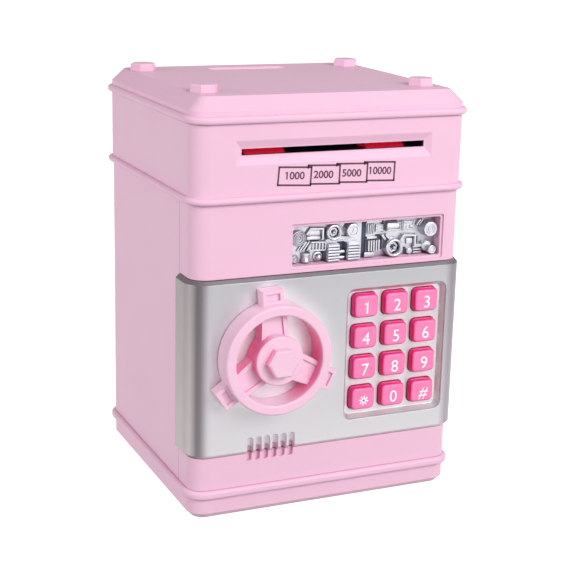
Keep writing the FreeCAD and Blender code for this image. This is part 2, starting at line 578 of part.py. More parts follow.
def door_shell():
    z0, z1 = DOOR_Z[0] + 0.2, DOOR_Z[1] - 0.2
    core = door_core(z0, z1)
    tail = barrel(BARREL_R - 0.2, z0, z1).common(block((HINGE_X, -47.4, z0), (80, 0, z1)))
    body = fuse(core, tail)
    body = cut(body, block((-80, DOOR_BACK, 0), (80, 0, 200)))
    cavity = rounded((-LOWER_X + WALL, -LOWER_Y + WALL, z0 + 2), (52, 0, z1 - 2), 5.0, "z")
    cover_seat = block((-LOWER_X + 1.3, DOOR_BACK - 1.8, z0 + 1.2), (53, 0, z1 - 1.2))
    body = cut(body, cavity, cover_seat)
    bush = cylinder(6.6, (WHEEL_X, -LOWER_Y + 1, WHEEL_Z), "y", 6.4)
    guides = [block((-44.5, -LOWER_Y + 1, z), (-41.5, -45.8, z + 2.6))
              for z in (BOLT_Z[1] + 0.35, BOLT_Z[0] - 0.35 - 2.6)]
    posts = [cylinder(2.6, (x, -LOWER_Y + 1, z), "y", 13.3) for x, z in door_screw_places()]
    body = fuse(body, bush, *guides, *posts, speaker_collar())
    pocket = block((RECESS_X[0] - 1.4, -70, RECESS_Z[0] - 1.6),
                   (RECESS_X[1] + 0.4, -53.3, RECESS_Z[1] + 1.6))
    vent_pocket = block((VENT_PAD_X[0] - 0.1, -70, VENT_PAD_Z[0]),
                        (VENT_PAD_X[1] + 0.1, -LOWER_Y + 3, VENT_PAD_Z[1] + 0.1))
    notches = [groove(x, -LOWER_Y - 1, VENT_FLOOR_Y, DOOR_Z[0] - 3, VENT_PAD_Z[0] + 3)
               for x in vent_places()]
    shaft_hole = cylinder(SHAFT_R + RUNNING_PLAY, (WHEEL_X, -80, WHEEL_Z), "y", 60)
    pins = [cylinder(PIN_R + RUNNING_PLAY, (HINGE_X, HINGE_Y, z), "z", PIN_DEPTH + 0.6)
            for z in (z0 - 0.3, z1 - PIN_DEPTH - 0.3)]
    pilots = [cylinder(1.1 + SEAT_PLAY, (x, -56, z), "y", 12) for x, z in door_screw_places()]
    return cut(body, pocket, vent_pocket, shaft_hole, *pins, *pilots, *notches)


def speaker_collar():
    """Short collar that holds the speaker behind the vent slots."""
    outer = cylinder(14.8, (WHEEL_X, -LOWER_Y + 1, SPEAKER_Z), "y", 5.0)
    return cut(outer, cylinder(13.4, (WHEEL_X, -LOWER_Y, SPEAKER_Z), "y", 10))


def door_screw_places():
    return [(-58.5, 36.5), (-58.5, 105.7), (4.0, 36.5), (4.0, 105.7), (48.5, 36.5), (48.5, 105.7)]


def door_panel():
    """Silver panel that wraps round the door, with a sunken keypad bay."""
    z0, z1 = DOOR_Z
    grown = LOWER_X + PANEL_T
    left = rounded((-grown, PANEL_FRONT, z0), (20, 0, z1), CORNER + PANEL_T, "z")
    left = left.common(block((-80, -80, z0), (-20, 0, z1)))
    outer = fuse(left, block((-20, PANEL_FRONT, z0), (HINGE_X, 0, z1)), barrel(BARREL_R, z0, z1))
    left_wrap = left.common(block((-80, -80, z0), (-20, SEAM_Y - 0.45, z1)))
    outer = fuse(outer.common(block((-80, -80, 0), (80, -47.6, 200))), left_wrap)
    outer = outer.makeChamfer(PANEL_BEVEL, [e for e in level_edges(outer) if e.BoundBox.YMin < -48])
    play = 0.05
    hollow = door_core(z0 - 1, z1 + 1)
    skin = cut(outer, hollow, barrel(BARREL_R - PANEL_T + play, z0 - 1, z1 + 1))
    pan = rounded((RECESS_X[0] - 1.1, PANEL_FRONT + 0.4, RECESS_Z[0] - 1.1),
                  (RECESS_X[1] + 0.1, RECESS_FLOOR_Y + RECESS_FLOOR_T, RECESS_Z[1] + 1.1), 4.6, "y")
    pad = block((VENT_PAD_X[0], PANEL_FRONT + 0.4, VENT_PAD_Z[0] + 0.1),
                (VENT_PAD_X[1], VENT_FLOOR_Y + 0.9, VENT_PAD_Z[1]))
    skin = fuse(skin, pan, pad)
    bay = rounded((RECESS_X[0], -70, RECESS_Z[0]), (RECESS_X[1], RECESS_FLOOR_Y, RECESS_Z[1]), 4.0, "y")
    bay = bay.makeChamfer(RECESS_SLOPE, [e for e in bay.Edges if e.BoundBox.YMin > RECESS_FLOOR_Y - 0.1])
    vents = [groove(x, -80, VENT_FLOOR_Y, DOOR_Z[0] - 5, VENT_TOP) for x in vent_places()]
    windows = [key_outline(x, z, KEY_GAP, -70, -50) for x, z in key_places()]
    shaft_hole = cylinder(SHAFT_R + 0.6, (WHEEL_X, -80, WHEEL_Z), "y", 60)
    return cut(skin, bay, shaft_hole, *windows, *vents)


def door_inner_cover():
    z0, z1 = DOOR_Z[0] + 1.6, DOOR_Z[1] - 1.6
    plate = rounded((-LOWER_X + 1.5, DOOR_BACK - 1.75, z0), (52.8, DOOR_BACK, z1), 1.5, "y")
    strike_gate = block((STRIKE_X[0] - 1.4, -60, 68.4), (STRIKE_X[1] + 1.4, 0, 83.8))
    screws = [cylinder(1.4, (x, -60, z), "y", 30) for x, z in door_screw_places()]
    return cut(plate, strike_gate, *screws)


def door_screws():
    screws = []
    for x, z in door_screw_places():
        stem = cylinder(1.1, (x, -53.5, z), "y", 53.5 + DOOR_BACK - 0.05)
        screws.append(stem)
    return Part.makeCompound(screws)


def hinge_pins():
    low = cylinder(PIN_R, (HINGE_X, HINGE_Y, DOOR_Z[0] - 7.6), "z", 7.6 + PIN_DEPTH)
    high = cylinder(PIN_R, (HINGE_X, HINGE_Y, DOOR_Z[1] - PIN_DEPTH), "z", PIN_DEPTH + 2.8)
    return Part.makeCompound([low, high])


def key_places():
    return [(KEY_X0 + column * KEY_PITCH_X, KEY_Z0 + row * KEY_PITCH_Z)
            for row in range(4) for column in range(3)]


def key_outline(x, z, grow, y0, y1):
    """Prism over the rounded outline of a key, grown on every side."""
    half_w, half_h = KEY_W / 2 + grow, KEY_H / 2 + grow
    return rounded((x - half_w, y0, z - half_h), (x + half_w, y1, z + half_h), KEY_CORNER + grow, "y")


def keypad_key(x, z):
    """One key: crowned cap, stem through the bay floor and a flange that keeps it in."""
    cap = key_outline(x, z, 0, KEY_FRONT, -57.0)
    cap = cap.makeFillet(1.0, [e for e in cap.Edges if e.BoundBox.YMax < KEY_FRONT + 0.01])
    width, thick = KEY_FLANGE
    flange_y = RECESS_FLOOR_Y + RECESS_FLOOR_T + 0.4
    flange = block((x - KEY_W / 2 - width, flange_y, z - KEY_H / 2 - width),
                   (x + KEY_W / 2 + width, flange_y + thick, z + KEY_H / 2 + width))
    return fuse(cap, flange)


def key_membrane():
    mat = block((9.2, MEMBRANE_Y[0] + 0.5, 40.4), (56.8, MEMBRANE_Y[1], 101))
    domes = [cylinder(3.2, (x, MEMBRANE_Y[0], z), "y", 0.7) for x, z in key_places()]
    return fuse(mat, *domes)


def keypad_pcb():
    board = block((9.2, MEMBRANE_Y[1] + 0.05, 40.4), (51.6, MEMBRANE_Y[1] + 1.6, 101))
    chip = block((22, MEMBRANE_Y[1] + 1.5, 62), (36, MEMBRANE_Y[1] + 3.6, 76))
    return fuse(board, chip)


def speaker():
    """Small loudspeaker behind the vents: flat rim, conical basket and magnet."""
    x, z = WHEEL_X, SPEAKER_Z
    front = VENT_FLOOR_Y + 1.0
    rim = cylinder(13.2, (x, front, z), "y", 1.6)
    basket = Part.makeCone(11.5, 6.0, 2.2, V(x, front + 1.5, z), V(0, 1, 0))
    magnet = cylinder(6.0, (x, front + 3.6, z), "y", 3.0)
    return fuse(rim, basket, magnet)


# ---- hand wheel and lock -------------------------------------------------------------------
def spoke_angles():
    return [90 + WHEEL_LEAN + turn for turn in (0, 120, 240)]


def turned(shape, angle):
    """Turn a piece drawn pointing along +x to its angle round the wheel's axis."""
    shape.rotate(V(WHEEL_X, 0, WHEEL_Z), V(0, -1, 0), angle)
    return shape


def wheel_disc(radius, front, back):
    return cylinder(radius, (WHEEL_X, PANEL_FRONT - front, WHEEL_Z), "y", front - back)


def spoke():
    """Tapered spoke along +x with a raised flange along each edge."""
    x0, x1 = WHEEL_X + HUB_R - 4, WHEEL_X + RIM_IN + 1.5
    front, back = PANEL_FRONT - SPOKE_FRONT, PANEL_FRONT - RIM_BACK
    root, tip = SPOKE_W[0] / 2, SPOKE_W[1] / 2
    outline = [(x0, -root), (x1, -tip), (x1, tip), (x0, root)]
    body = polygon_prism([V(x, front, WHEEL_Z + z) for x, z in outline], V(0, back - front, 0))
    inner = [(x0 - 1, FLANGE_W - root), (x1 + 1, FLANGE_W - tip), (x1 + 1, tip - FLANGE_W),
             (x0 - 1, root - FLANGE_W)]
    tray = polygon_prism([V(x, front - 1, WHEEL_Z + z) for x, z in inner], V(0, 1 + FLANGE_H, 0))
    return cut(body, tray)


def wheel_knob():
    """Hand wheel: rim, three spokes and grip tabs, hub and hexagonal cap."""
    rim = cut(wheel_disc(RIM_R, RIM_FRONT, RIM_BACK), wheel_disc(RIM_IN, RIM_FRONT + 1, -1))
    rim = rim.makeFillet(0.9, [e for e in rim.Edges if e.BoundBox.YMax < PANEL_FRONT - RIM_FRONT + 0.1])
    hub = wheel_disc(HUB_R, RIM_FRONT, RIM_BACK)
    hub = hub.makeFillet(0.9, [e for e in hub.Edges if e.BoundBox.YMax < PANEL_FRONT - RIM_FRONT + 0.1])
    parts = [hub]
    for angle in spoke_angles():
        tab = block((WHEEL_X + RIM_R - 2, PANEL_FRONT - TAB_FRONT, WHEEL_Z - TAB_W / 2),
                    (WHEEL_X + TAB_R, PANEL_FRONT - RIM_BACK, WHEEL_Z + TAB_W / 2))
        dent = block((WHEEL_X + RIM_R + 1.2, PANEL_FRONT - TAB_FRONT - 1, WHEEL_Z - TAB_W / 2 + 1.8),
                     (WHEEL_X + TAB_R - 1.6, PANEL_FRONT - TAB_FRONT + 1.2, WHEEL_Z + TAB_W / 2 - 1.8))
        parts += [turned(spoke(), angle), turned(cut(tab, dent), angle)]
    hex_points = [V(WHEEL_X + HEX_R * math.cos(math.radians(a)), PANEL_FRONT - HEX_FRONT,
                    WHEEL_Z + HEX_R * math.sin(math.radians(a))) for a in range(0, 360, 60)]
    cap = polygon_prism(hex_points, V(0, HEX_FRONT - RIM_FRONT + 1, 0))
    cap = cap.makeChamfer(0.6, [e for e in cap.Edges if e.BoundBox.YMax < PANEL_FRONT - HEX_FRONT + 0.1])
    body = fuse(rim, *parts, cap)
    return cut(body, wheel_disc(SHAFT_R + SEAT_PLAY, 7, -1))


def crank_centre():
    angle = math.radians(CRANK_START)
    return WHEEL_X + CRANK_R * math.cos(angle), WHEEL_Z + CRANK_R * math.sin(angle)


def knob_shaft():
    """Shaft from the wheel through the door to a crank disc with an eccentric pin."""
    start = PANEL_FRONT - 6.9
    shaft = cylinder(SHAFT_R, (WHEEL_X, start, WHEEL_Z), "y", -51.0 - start)
    disc = cylinder(7.2, (WHEEL_X, -52.3, WHEEL_Z), "y", 2.2)
    x, z = crank_centre()
    pin = cylinder(CRANK_PIN_R, (x, -50.5, z), "y", 50.5 + BOLT_Y[1] + 0.4)
    return fuse(shaft, disc, pin)


def latch_bolt():
    """Flat bolt with an upright slot for the crank pin and a notch for the solenoid."""
    bar = block((BOLT_TIP, BOLT_Y[0], BOLT_Z[0]), (-24, BOLT_Y[1], BOLT_Z[1]))
    head = rounded((-35, BOLT_Y[0], BOLT_Z[0]), (-23, BOLT_Y[1], WHEEL_Z + 9.5), 1.2, "y")
    x, _ = crank_centre()
    play = 0.3
    slot = rounded((x - CRANK_PIN_R - play, -60, WHEEL_Z + 2.6),
                   (x + CRANK_PIN_R + play, 0, WHEEL_Z + CRANK_R + CRANK_PIN_R + 0.6), 1.4, "y")
    notch_x = PLUNGER_X + BOLT_THROW
    notch = block((notch_x - PLUNGER_R - 0.5, -60, BOLT_Z[1] - 2), (notch_x + PLUNGER_R + 0.5, 0, 90))
    return cut(fuse(bar, head), slot, notch)


def lock_solenoid():
    body = rounded((PLUNGER_X - 6, -57.6, 87.5), (PLUNGER_X + 6, -45.9, 103.5), 1.2, "z")
    return cut(body, cylinder(PLUNGER_R + RUNNING_PLAY, (PLUNGER_X, PLUNGER_Y, 87), "z", 14))


def solenoid_plunger():
    return cylinder(PLUNGER_R, (PLUNGER_X, PLUNGER_Y, BOLT_Z[1] + 0.35), "z", 16)


def save(name, shape):
    shape.exportStep(f"parts/{name}.step")


def main():
    os.makedirs("parts", exist_ok=True)
    pieces = {
        "base_tray": base_tray(),
        "rubber_feet": rubber_feet(),
        "case_screws": case_screws(),
        "battery_cover": battery_cover(),
        "battery_cells": battery_cells(),
        "battery_contacts": battery_contacts(),
        "rear_shell": rear_shell(),
        "front_frame": front_frame(),
        "cash_floor": cash_floor(),
        "head_housing": head_housing(),
        "top_cover": top_cover(),
        "top_hex_bolts": top_hex_bolts(),
        "coin_chute": coin_chute(),
        "machinery_plate": machinery_plate(),
        "feeder_frame": feeder_frame(),
        "drive_roller_shaft": roller_shaft(DRIVE_Z, 56),
        "drive_roller_tyres": roller_tyres(DRIVE_Z),
        "idler_roller_shaft": roller_shaft(IDLER_Z, 51),
        "idler_roller_tyres": roller_tyres(IDLER_Z),
        "drive_gear": drive_gear(),
        "motor_pinion": motor_pinion(),
        "motor_shaft": motor_shaft(),
        "feed_motor": feed_motor(),
        "main_pcb": main_pcb(),
        "hinge_pins": hinge_pins(),
        "door_shell": door_shell(),
        "door_panel": door_panel(),
        "door_inner_cover": door_inner_cover(),
        "door_screws": door_screws(),
        "key_membrane": key_membrane(),
        "keypad_pcb": keypad_pcb(),
        "speaker": speaker(),
        "lock_solenoid": lock_solenoid(),
        "solenoid_plunger": solenoid_plunger(),
        "wheel_knob": wheel_knob(),
        "knob_shaft": knob_shaft(),
        "latch_bolt": latch_bolt(),
    }
    for name, (x, z) in zip(KEY_NAMES, key_places()):
        pieces[f"key_{name}"] = keypad_key(x, z)
    for name, shape in pieces.items():
        save(name, shape)


main()
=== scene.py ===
import json
import math

import bmesh
import bpy
from mathutils import Matrix, Vector


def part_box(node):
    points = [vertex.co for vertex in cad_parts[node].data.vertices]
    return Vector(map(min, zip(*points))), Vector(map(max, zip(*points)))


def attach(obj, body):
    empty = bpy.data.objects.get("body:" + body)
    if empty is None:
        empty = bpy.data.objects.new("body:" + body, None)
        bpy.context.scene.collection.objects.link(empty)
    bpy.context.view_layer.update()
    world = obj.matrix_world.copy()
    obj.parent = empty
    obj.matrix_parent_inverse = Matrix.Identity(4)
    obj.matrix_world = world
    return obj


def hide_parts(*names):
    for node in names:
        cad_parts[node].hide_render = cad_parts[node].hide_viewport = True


MM = 0.001

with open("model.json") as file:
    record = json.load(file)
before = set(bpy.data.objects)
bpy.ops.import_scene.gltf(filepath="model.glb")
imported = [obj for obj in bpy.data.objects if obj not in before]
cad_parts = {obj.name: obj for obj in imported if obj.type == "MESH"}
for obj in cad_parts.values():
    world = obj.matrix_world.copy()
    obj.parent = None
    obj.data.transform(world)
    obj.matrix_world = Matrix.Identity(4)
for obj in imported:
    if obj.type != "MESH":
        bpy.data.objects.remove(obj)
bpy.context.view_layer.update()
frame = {"nodes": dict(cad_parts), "record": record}
NODES = frame["nodes"]

NOISE_LOW, NOISE_HIGH = 0.3, 0.7        # nearly all values of a noise texture lie between these
SHADE_SAMPLES = 6                       # rays of each ambient occlusion and bevel node
MULTIPLY = "MULTIPLY"


# ---- shader building blocks -----------------------------------------------------------------
def new_material(name):
    material = bpy.data.materials.new(name)
    material.use_nodes = True
    tree = material.node_tree
    tree.nodes.clear()
    output = tree.nodes.new("ShaderNodeOutputMaterial")
    shader = tree.nodes.new("ShaderNodeBsdfPrincipled")
    tree.links.new(shader.outputs["BSDF"], output.inputs["Surface"])
    coordinates = tree.nodes.new("ShaderNodeTexCoord")
    return material, tree, shader, coordinates


def noise(tree, where, scale, detail=3.0):
    """Noise in object space; scale is in features per metre."""
    texture = tree.nodes.new("ShaderNodeTexNoise")
    texture.inputs["Scale"].default_value = scale
    texture.inputs["Detail"].default_value = detail
    tree.links.new(where, texture.inputs["Vector"])
    return texture.outputs["Fac"]


def spread(tree, value, low, high, from_low=NOISE_LOW, from_high=NOISE_HIGH):
    """Map a value onto a range."""
    node = tree.nodes.new("ShaderNodeMapRange")
    node.inputs["From Min"].default_value = from_low
    node.inputs["From Max"].default_value = from_high
    node.inputs["To Min"].default_value = low
    node.inputs["To Max"].default_value = high
    tree.links.new(value, node.inputs["Value"])
    return node.outputs["Result"]


def ramp(tree, value, stops):
    """Colour ramp through (position, colour) stops."""
    node = tree.nodes.new("ShaderNodeValToRGB")
    elements = node.color_ramp.elements
    while len(elements) < len(stops):
        elements.new(0.5)
    for element, (position, colour) in zip(elements, stops):
        element.position = position
        element.color = (*colour, 1)
    tree.links.new(value, node.inputs["Fac"])
    return node.outputs["Color"]


def two_tone(tree, value, colour, drift):
    """A colour that drifts a little lighter and darker with a noise value."""
    return ramp(tree, value, [(NOISE_LOW, tint(colour, 1 - drift)),
                              (NOISE_HIGH, tint(colour, 1 + drift))])


def colour_socket(sockets, name):
    """The colour socket of a Mix node, which has a socket of each kind under each name."""
    return next(s for s in sockets if s.name == name and s.type == "RGBA")


def blend(tree, factor, first, second, mode="MIX"):
    """Mix two colours; each is a socket or a plain colour."""
    node = tree.nodes.new("ShaderNodeMix")
    node.data_type = "RGBA"
    node.blend_type = mode
    if isinstance(factor, float):
        node.inputs["Factor"].default_value = factor
    else:
        tree.links.new(factor, node.inputs["Factor"])
    for name, value in (("A", first), ("B", second)):
        socket = colour_socket(node.inputs, name)
        if isinstance(value, tuple):
            socket.default_value = (*value, 1)
        else:
            tree.links.new(value, socket)
    return colour_socket(node.outputs, "Result")


def product(tree, first, second):
    """Two values multiplied."""
    node = tree.nodes.new("ShaderNodeMath")
    node.operation = MULTIPLY
    tree.links.new(first, node.inputs[0])
    tree.links.new(second, node.inputs[1])
    return node.outputs["Value"]


def paint_corner_shading(tree, colour, deep, reach, start=0.35, end=0.85, only=None):
    """Paint shade or bounced light into a colour in tight corners, where light bounces between the
    walls.

    The reach is in millimetres. The change is full where less than `start` of the sky shows and
    nothing where more than `end` does.
    """
    shade = tree.nodes.new("ShaderNodeAmbientOcclusion")
    shade.samples = SHADE_SAMPLES
    shade.inputs["Distance"].default_value = reach * MM
    amount = spread(tree, shade.outputs["AO"], 1.0, 0.0, start, end)
    if only is not None:
        amount = product(tree, amount, only)
    return blend(tree, amount, colour, deep)


def surface(tree, shader, height, distance, edge_round=0.0):
    """Fine bump, its depth in metres, over edges rounded to a radius in millimetres."""
    bump = tree.nodes.new("ShaderNodeBump")
    bump.inputs["Distance"].default_value = distance
    tree.links.new(height, bump.inputs["Height"])
    if edge_round:
        edge = tree.nodes.new("ShaderNodeBevel")
        edge.samples = SHADE_SAMPLES
        edge.inputs["Radius"].default_value = edge_round * MM
        tree.links.new(edge.outputs["Normal"], bump.inputs["Normal"])
    tree.links.new(bump.outputs["Normal"], shader.inputs["Normal"])


def tint(colour, factor):
    return tuple(min(1.0, channel * factor) for channel in colour)


def facing(tree, coordinates, axis):
    """How far the surface faces along one of the object's own axes, from -1 to 1."""
    split = tree.nodes.new("ShaderNodeSeparateXYZ")
    tree.links.new(coordinates.outputs["Normal"], split.inputs["Vector"])
    return split.outputs[axis]


def position(tree, coordinates, axis):
    """One coordinate of the point on the object, in metres."""
    split = tree.nodes.new("ShaderNodeSeparateXYZ")
    tree.links.new(coordinates.outputs["Object"], split.inputs["Vector"])
    return split.outputs[axis]


def inner_walls(tree, coordinates, axis_x, axis_z, radius):
    """1 on the walls that face -x within a radius of an axis along y, 0 elsewhere.

    All three are in metres.
    """
    shift = tree.nodes.new("ShaderNodeMapping")
    shift.inputs["Location"].default_value = (-axis_x, 0, -axis_z)
    shift.inputs["Scale"].default_value = (1, 0, 1)
    tree.links.new(coordinates.outputs["Object"], shift.inputs["Vector"])
    length = tree.nodes.new("ShaderNodeVectorMath")
    length.operation = "LENGTH"
    tree.links.new(shift.outputs["Vector"], length.inputs[0])
    inside = spread(tree, length.outputs["Value"], 1.0, 0.0, radius, radius + MM)
    faces_left = spread(tree, facing(tree, coordinates, "X"), 1.0, 0.0, -0.8, -0.2)
    return product(tree, inside, faces_left)


# ---- materials ------------------------------------------------------------------------------
SKIN_SCALE = 1500                       # bumps per metre of a moulded skin
SUBSURFACE_RADIUS = (1.0, 0.4, 0.55)
SUBSURFACE_DEPTH = 1.5 * MM


def moulded_plastic(name, colour, rough=(0.30, 0.42), mottle=0.02, grain=0.000008, subsurface=0.0,
                    deep=None, reach=6.0, edge_round=0.0, specular=0.5, hollow=None, glow=0.0,
                    tight=(0.35, 0.85)):
    """Injection-moulded plastic: faint colour drift, uneven gloss and a fine skin texture.

    Painted shade: the colour turns to `deep` in corners, or only on the inner walls of `hollow`
    where it is given. A glow, where given, is painted light.
    """
    material, tree, shader, coordinates = new_material(name)
    where = coordinates.outputs["Object"]
    colour_out = two_tone(tree, noise(tree, where, 22, detail=4), colour, mottle)
    if deep:
        walls = inner_walls(tree, coordinates, *hollow) if hollow else None
        colour_out = paint_corner_shading(tree, colour_out, deep, reach, *tight, only=walls)
    tree.links.new(colour_out, shader.inputs["Base Color"])
    gloss = spread(tree, noise(tree, where, 60, detail=5), *rough)
    tree.links.new(gloss, shader.inputs["Roughness"])
    shader.inputs["Specular IOR Level"].default_value = specular
    # painted light: a small glow of the part's own colour, for light bounced inside it
    if glow:
        shader.inputs["Emission Color"].default_value = (*colour, 1)
        shader.inputs["Emission Strength"].default_value = glow
    if subsurface:
        shader.inputs["Subsurface Weight"].default_value = subsurface
        shader.inputs["Subsurface Radius"].default_value = SUBSURFACE_RADIUS
        shader.inputs["Subsurface Scale"].default_value = SUBSURFACE_DEPTH
    surface(tree, shader, noise(tree, where, SKIN_SCALE, detail=2), grain, edge_round)
    return material


# Painted light on the keys: a paler face stands for sheen, deeper sides and gap for shade.
KEY_FACE_PAINTED_SHEEN = (0.92, 0.21, 0.46)
KEY_SIDE_PAINTED_SHADE = (0.85, 0.008, 0.20)
KEY_GAP_PAINTED_SHADE = (0.20, 0.0, 0.03)
KEY_DRIFT = (0.93, 0.93, 0.93)


def key_plastic(name):
    """Hot pink key with painted light: a paler face for painted sheen, deep magenta on its sides
    and in the gap round it for painted shade.
    """
    material, tree, shader, coordinates = new_material(name)
    where = coordinates.outputs["Object"]
    # painted sheen and shade: the face paler and the sides deeper by how far the surface faces
    # front
    front = spread(tree, facing(tree, coordinates, "Y"), 1.0, 0.0, -0.97, -0.55)
    colour = blend(tree, front, KEY_SIDE_PAINTED_SHADE, KEY_FACE_PAINTED_SHEEN)
    drift = two_tone(tree, noise(tree, where, 260, detail=4), KEY_DRIFT, 0.05)
    colour = blend(tree, 1.0, colour, drift, MULTIPLY)
    # painted shade in the gap round the key
    colour = paint_corner_shading(tree, colour, KEY_GAP_PAINTED_SHADE, 1.6, 0.15, 0.45)
    tree.links.new(colour, shader.inputs["Base Color"])
    gloss = spread(tree, noise(tree, where, 120), 0.32, 0.42)
    tree.links.new(gloss, shader.inputs["Roughness"])
    surface(tree, shader, noise(tree, where, 2600), 0.000006, 0.2)
    return material


PANEL_BASE = (0.78, 0.76, 0.79)
PANEL_PAINTED_CORNER_LIGHT = (0.95, 0.90, 0.94)         # painted light where the panel meets the casing and the keys
PANEL_PAINTED_SIDE_SHADING = (                          # painted shade and reflection by facing, from full left at 0 to full right at 1
    (0.0, (0.49, 0.445, 0.43)), (0.07, (0.58, 0.54, 0.535)), (0.19, (0.21, 0.185, 0.19)),
    (0.26, (0.25, 0.22, 0.225)), (0.42, (0.66, 0.64, 0.66)), (0.5, (0.70, 0.70, 0.70)),
    (0.56, (0.60, 0.56, 0.58)), (0.7, (0.44, 0.38, 0.41)), (1.0, (0.42, 0.40, 0.40)))
PANEL_PAINTED_UPWARD_SHADING = (                         # painted shade and highlight by facing, from level at 0 to full up at 1
    (0.05, (0.70, 0.70, 0.70)), (0.2, (1.0, 1.0, 1.0)), (0.42, (1.0, 1.0, 1.0)),
    (0.65, (0.36, 0.35, 0.36)), (1.0, (0.30, 0.29, 0.30)))
PANEL_PAINTED_HEIGHT_SHADE = ((0.0, (1.0, 1.0, 1.0)), (1.0, (0.70, 0.71, 0.72)))      # painted shade, darker towards the top, by height up the panel


def silver_paint(name):
    """Satin silver paint with a fine flake, its tone set by where the surface faces: painted shade,
    reflection and highlight by facing and height, and painted light in its corners.
    """
    material, tree, shader, coordinates = new_material(name)
    where = coordinates.outputs["Object"]
    flake = noise(tree, where, 5200, detail=3)
    base = two_tone(tree, flake, PANEL_BASE, 0.05)
    turned = spread(tree, facing(tree, coordinates, "X"), 0.0, 1.0, -1.0, 1.0)
    # painted shade and reflection by which way the surface turns, darkest at the corner
    wrap = ramp(tree, turned, PANEL_PAINTED_SIDE_SHADING)
    low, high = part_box("door_panel")
    upright = spread(tree, position(tree, coordinates, "Z"), 0.0, 1.0, low.z, high.z)
    # painted shade: darker towards the top of the panel
    height_shade = ramp(tree, upright, PANEL_PAINTED_HEIGHT_SHADE)
    raised = spread(tree, facing(tree, coordinates, "Z"), 0.0, 1.0, 0.0, 1.0)
    # painted shade and highlight on the faces that turn upward
    upward_shading = ramp(tree, raised, PANEL_PAINTED_UPWARD_SHADING)
    colour = blend(tree, 1.0, base, blend(tree, raised, wrap, upward_shading), MULTIPLY)
    colour = blend(tree, 1.0, colour, height_shade, MULTIPLY)
    # painted light: lighter where the panel meets the casing and the keys
    colour = paint_corner_shading(tree, colour, PANEL_PAINTED_CORNER_LIGHT, 12.0, 0.1, 0.85)
    tree.links.new(colour, shader.inputs["Base Color"])
    gloss = spread(tree, noise(tree, where, 70, detail=4), 0.34, 0.42)
    tree.links.new(gloss, shader.inputs["Roughness"])
    shader.inputs["Metallic"].default_value = 0.5
    surface(tree, shader, flake, 0.000006, 0.5)
    return material


METAL_DRIFT = 0.05


def metal(name, colour, rough, scale, metallic=1.0, depth=0.000006, deep=None, reach=2.0,
          edge_round=0.0):
    """Plated metal finish with a fine grain, and painted shade in its corners where `deep` is
    given.
    """
    material, tree, shader, coordinates = new_material(name)
    where = coordinates.outputs["Object"]
    grain = noise(tree, where, scale, detail=3)
    colour_out = two_tone(tree, grain, colour, METAL_DRIFT)
    if deep:
        colour_out = paint_corner_shading(tree, colour_out, deep, reach, 0.3, 0.8)
    tree.links.new(colour_out, shader.inputs["Base Color"])
    gloss = spread(tree, noise(tree, where, 70, detail=4), *rough)
    tree.links.new(gloss, shader.inputs["Roughness"])
    shader.inputs["Metallic"].default_value = metallic
    surface(tree, shader, grain, depth, edge_round)
    return material


def circuit_board(name):
    """Green solder mask with paler tracks."""
    material, tree, shader, coordinates = new_material(name)
    where = coordinates.outputs["Object"]
    tracks = tree.nodes.new("ShaderNodeTexBrick")
    tracks.inputs["Scale"].default_value = 260
    tracks.inputs["Color1"].default_value = (0.012, 0.13, 0.05, 1)
    tracks.inputs["Color2"].default_value = (0.016, 0.16, 0.065, 1)
    tracks.inputs["Mortar"].default_value = (0.05, 0.30, 0.13, 1)
    tracks.inputs["Mortar Size"].default_value = 0.06
    mapping = tree.nodes.new("ShaderNodeMapping")
    mapping.inputs["Rotation"].default_value = (math.pi / 2, 0, 0)
    tree.links.new(where, mapping.inputs["Vector"])
    tree.links.new(mapping.outputs["Vector"], tracks.inputs["Vector"])
    tree.links.new(tracks.outputs["Color"], shader.inputs["Base Color"])
    tree.links.new(spread(tree, noise(tree, where, 300), 0.3, 0.45), shader.inputs["Roughness"])
    surface(tree, shader, tracks.outputs["Fac"], 0.00003)
    return material


PINK = (0.79, 0.495, 0.64)
PINK_PAINTED_SHADE = (0.79, 0.30, 0.47)
KNOB = (0.77, 0.49, 0.625)
KNOB_PAINTED_SHADE = (0.97, 0.05, 0.29)
JOINTS = {joint["name"]: joint for joint in frame["record"]["behaviour"]["joints"]}
KNOB_AXIS = JOINTS["knob_turn"]["pos_m"]
HOLLOW = (KNOB_AXIS[0], KNOB_AXIS[2], 21.5 * MM)        # inside of the hand wheel's rim, where its painted shade goes

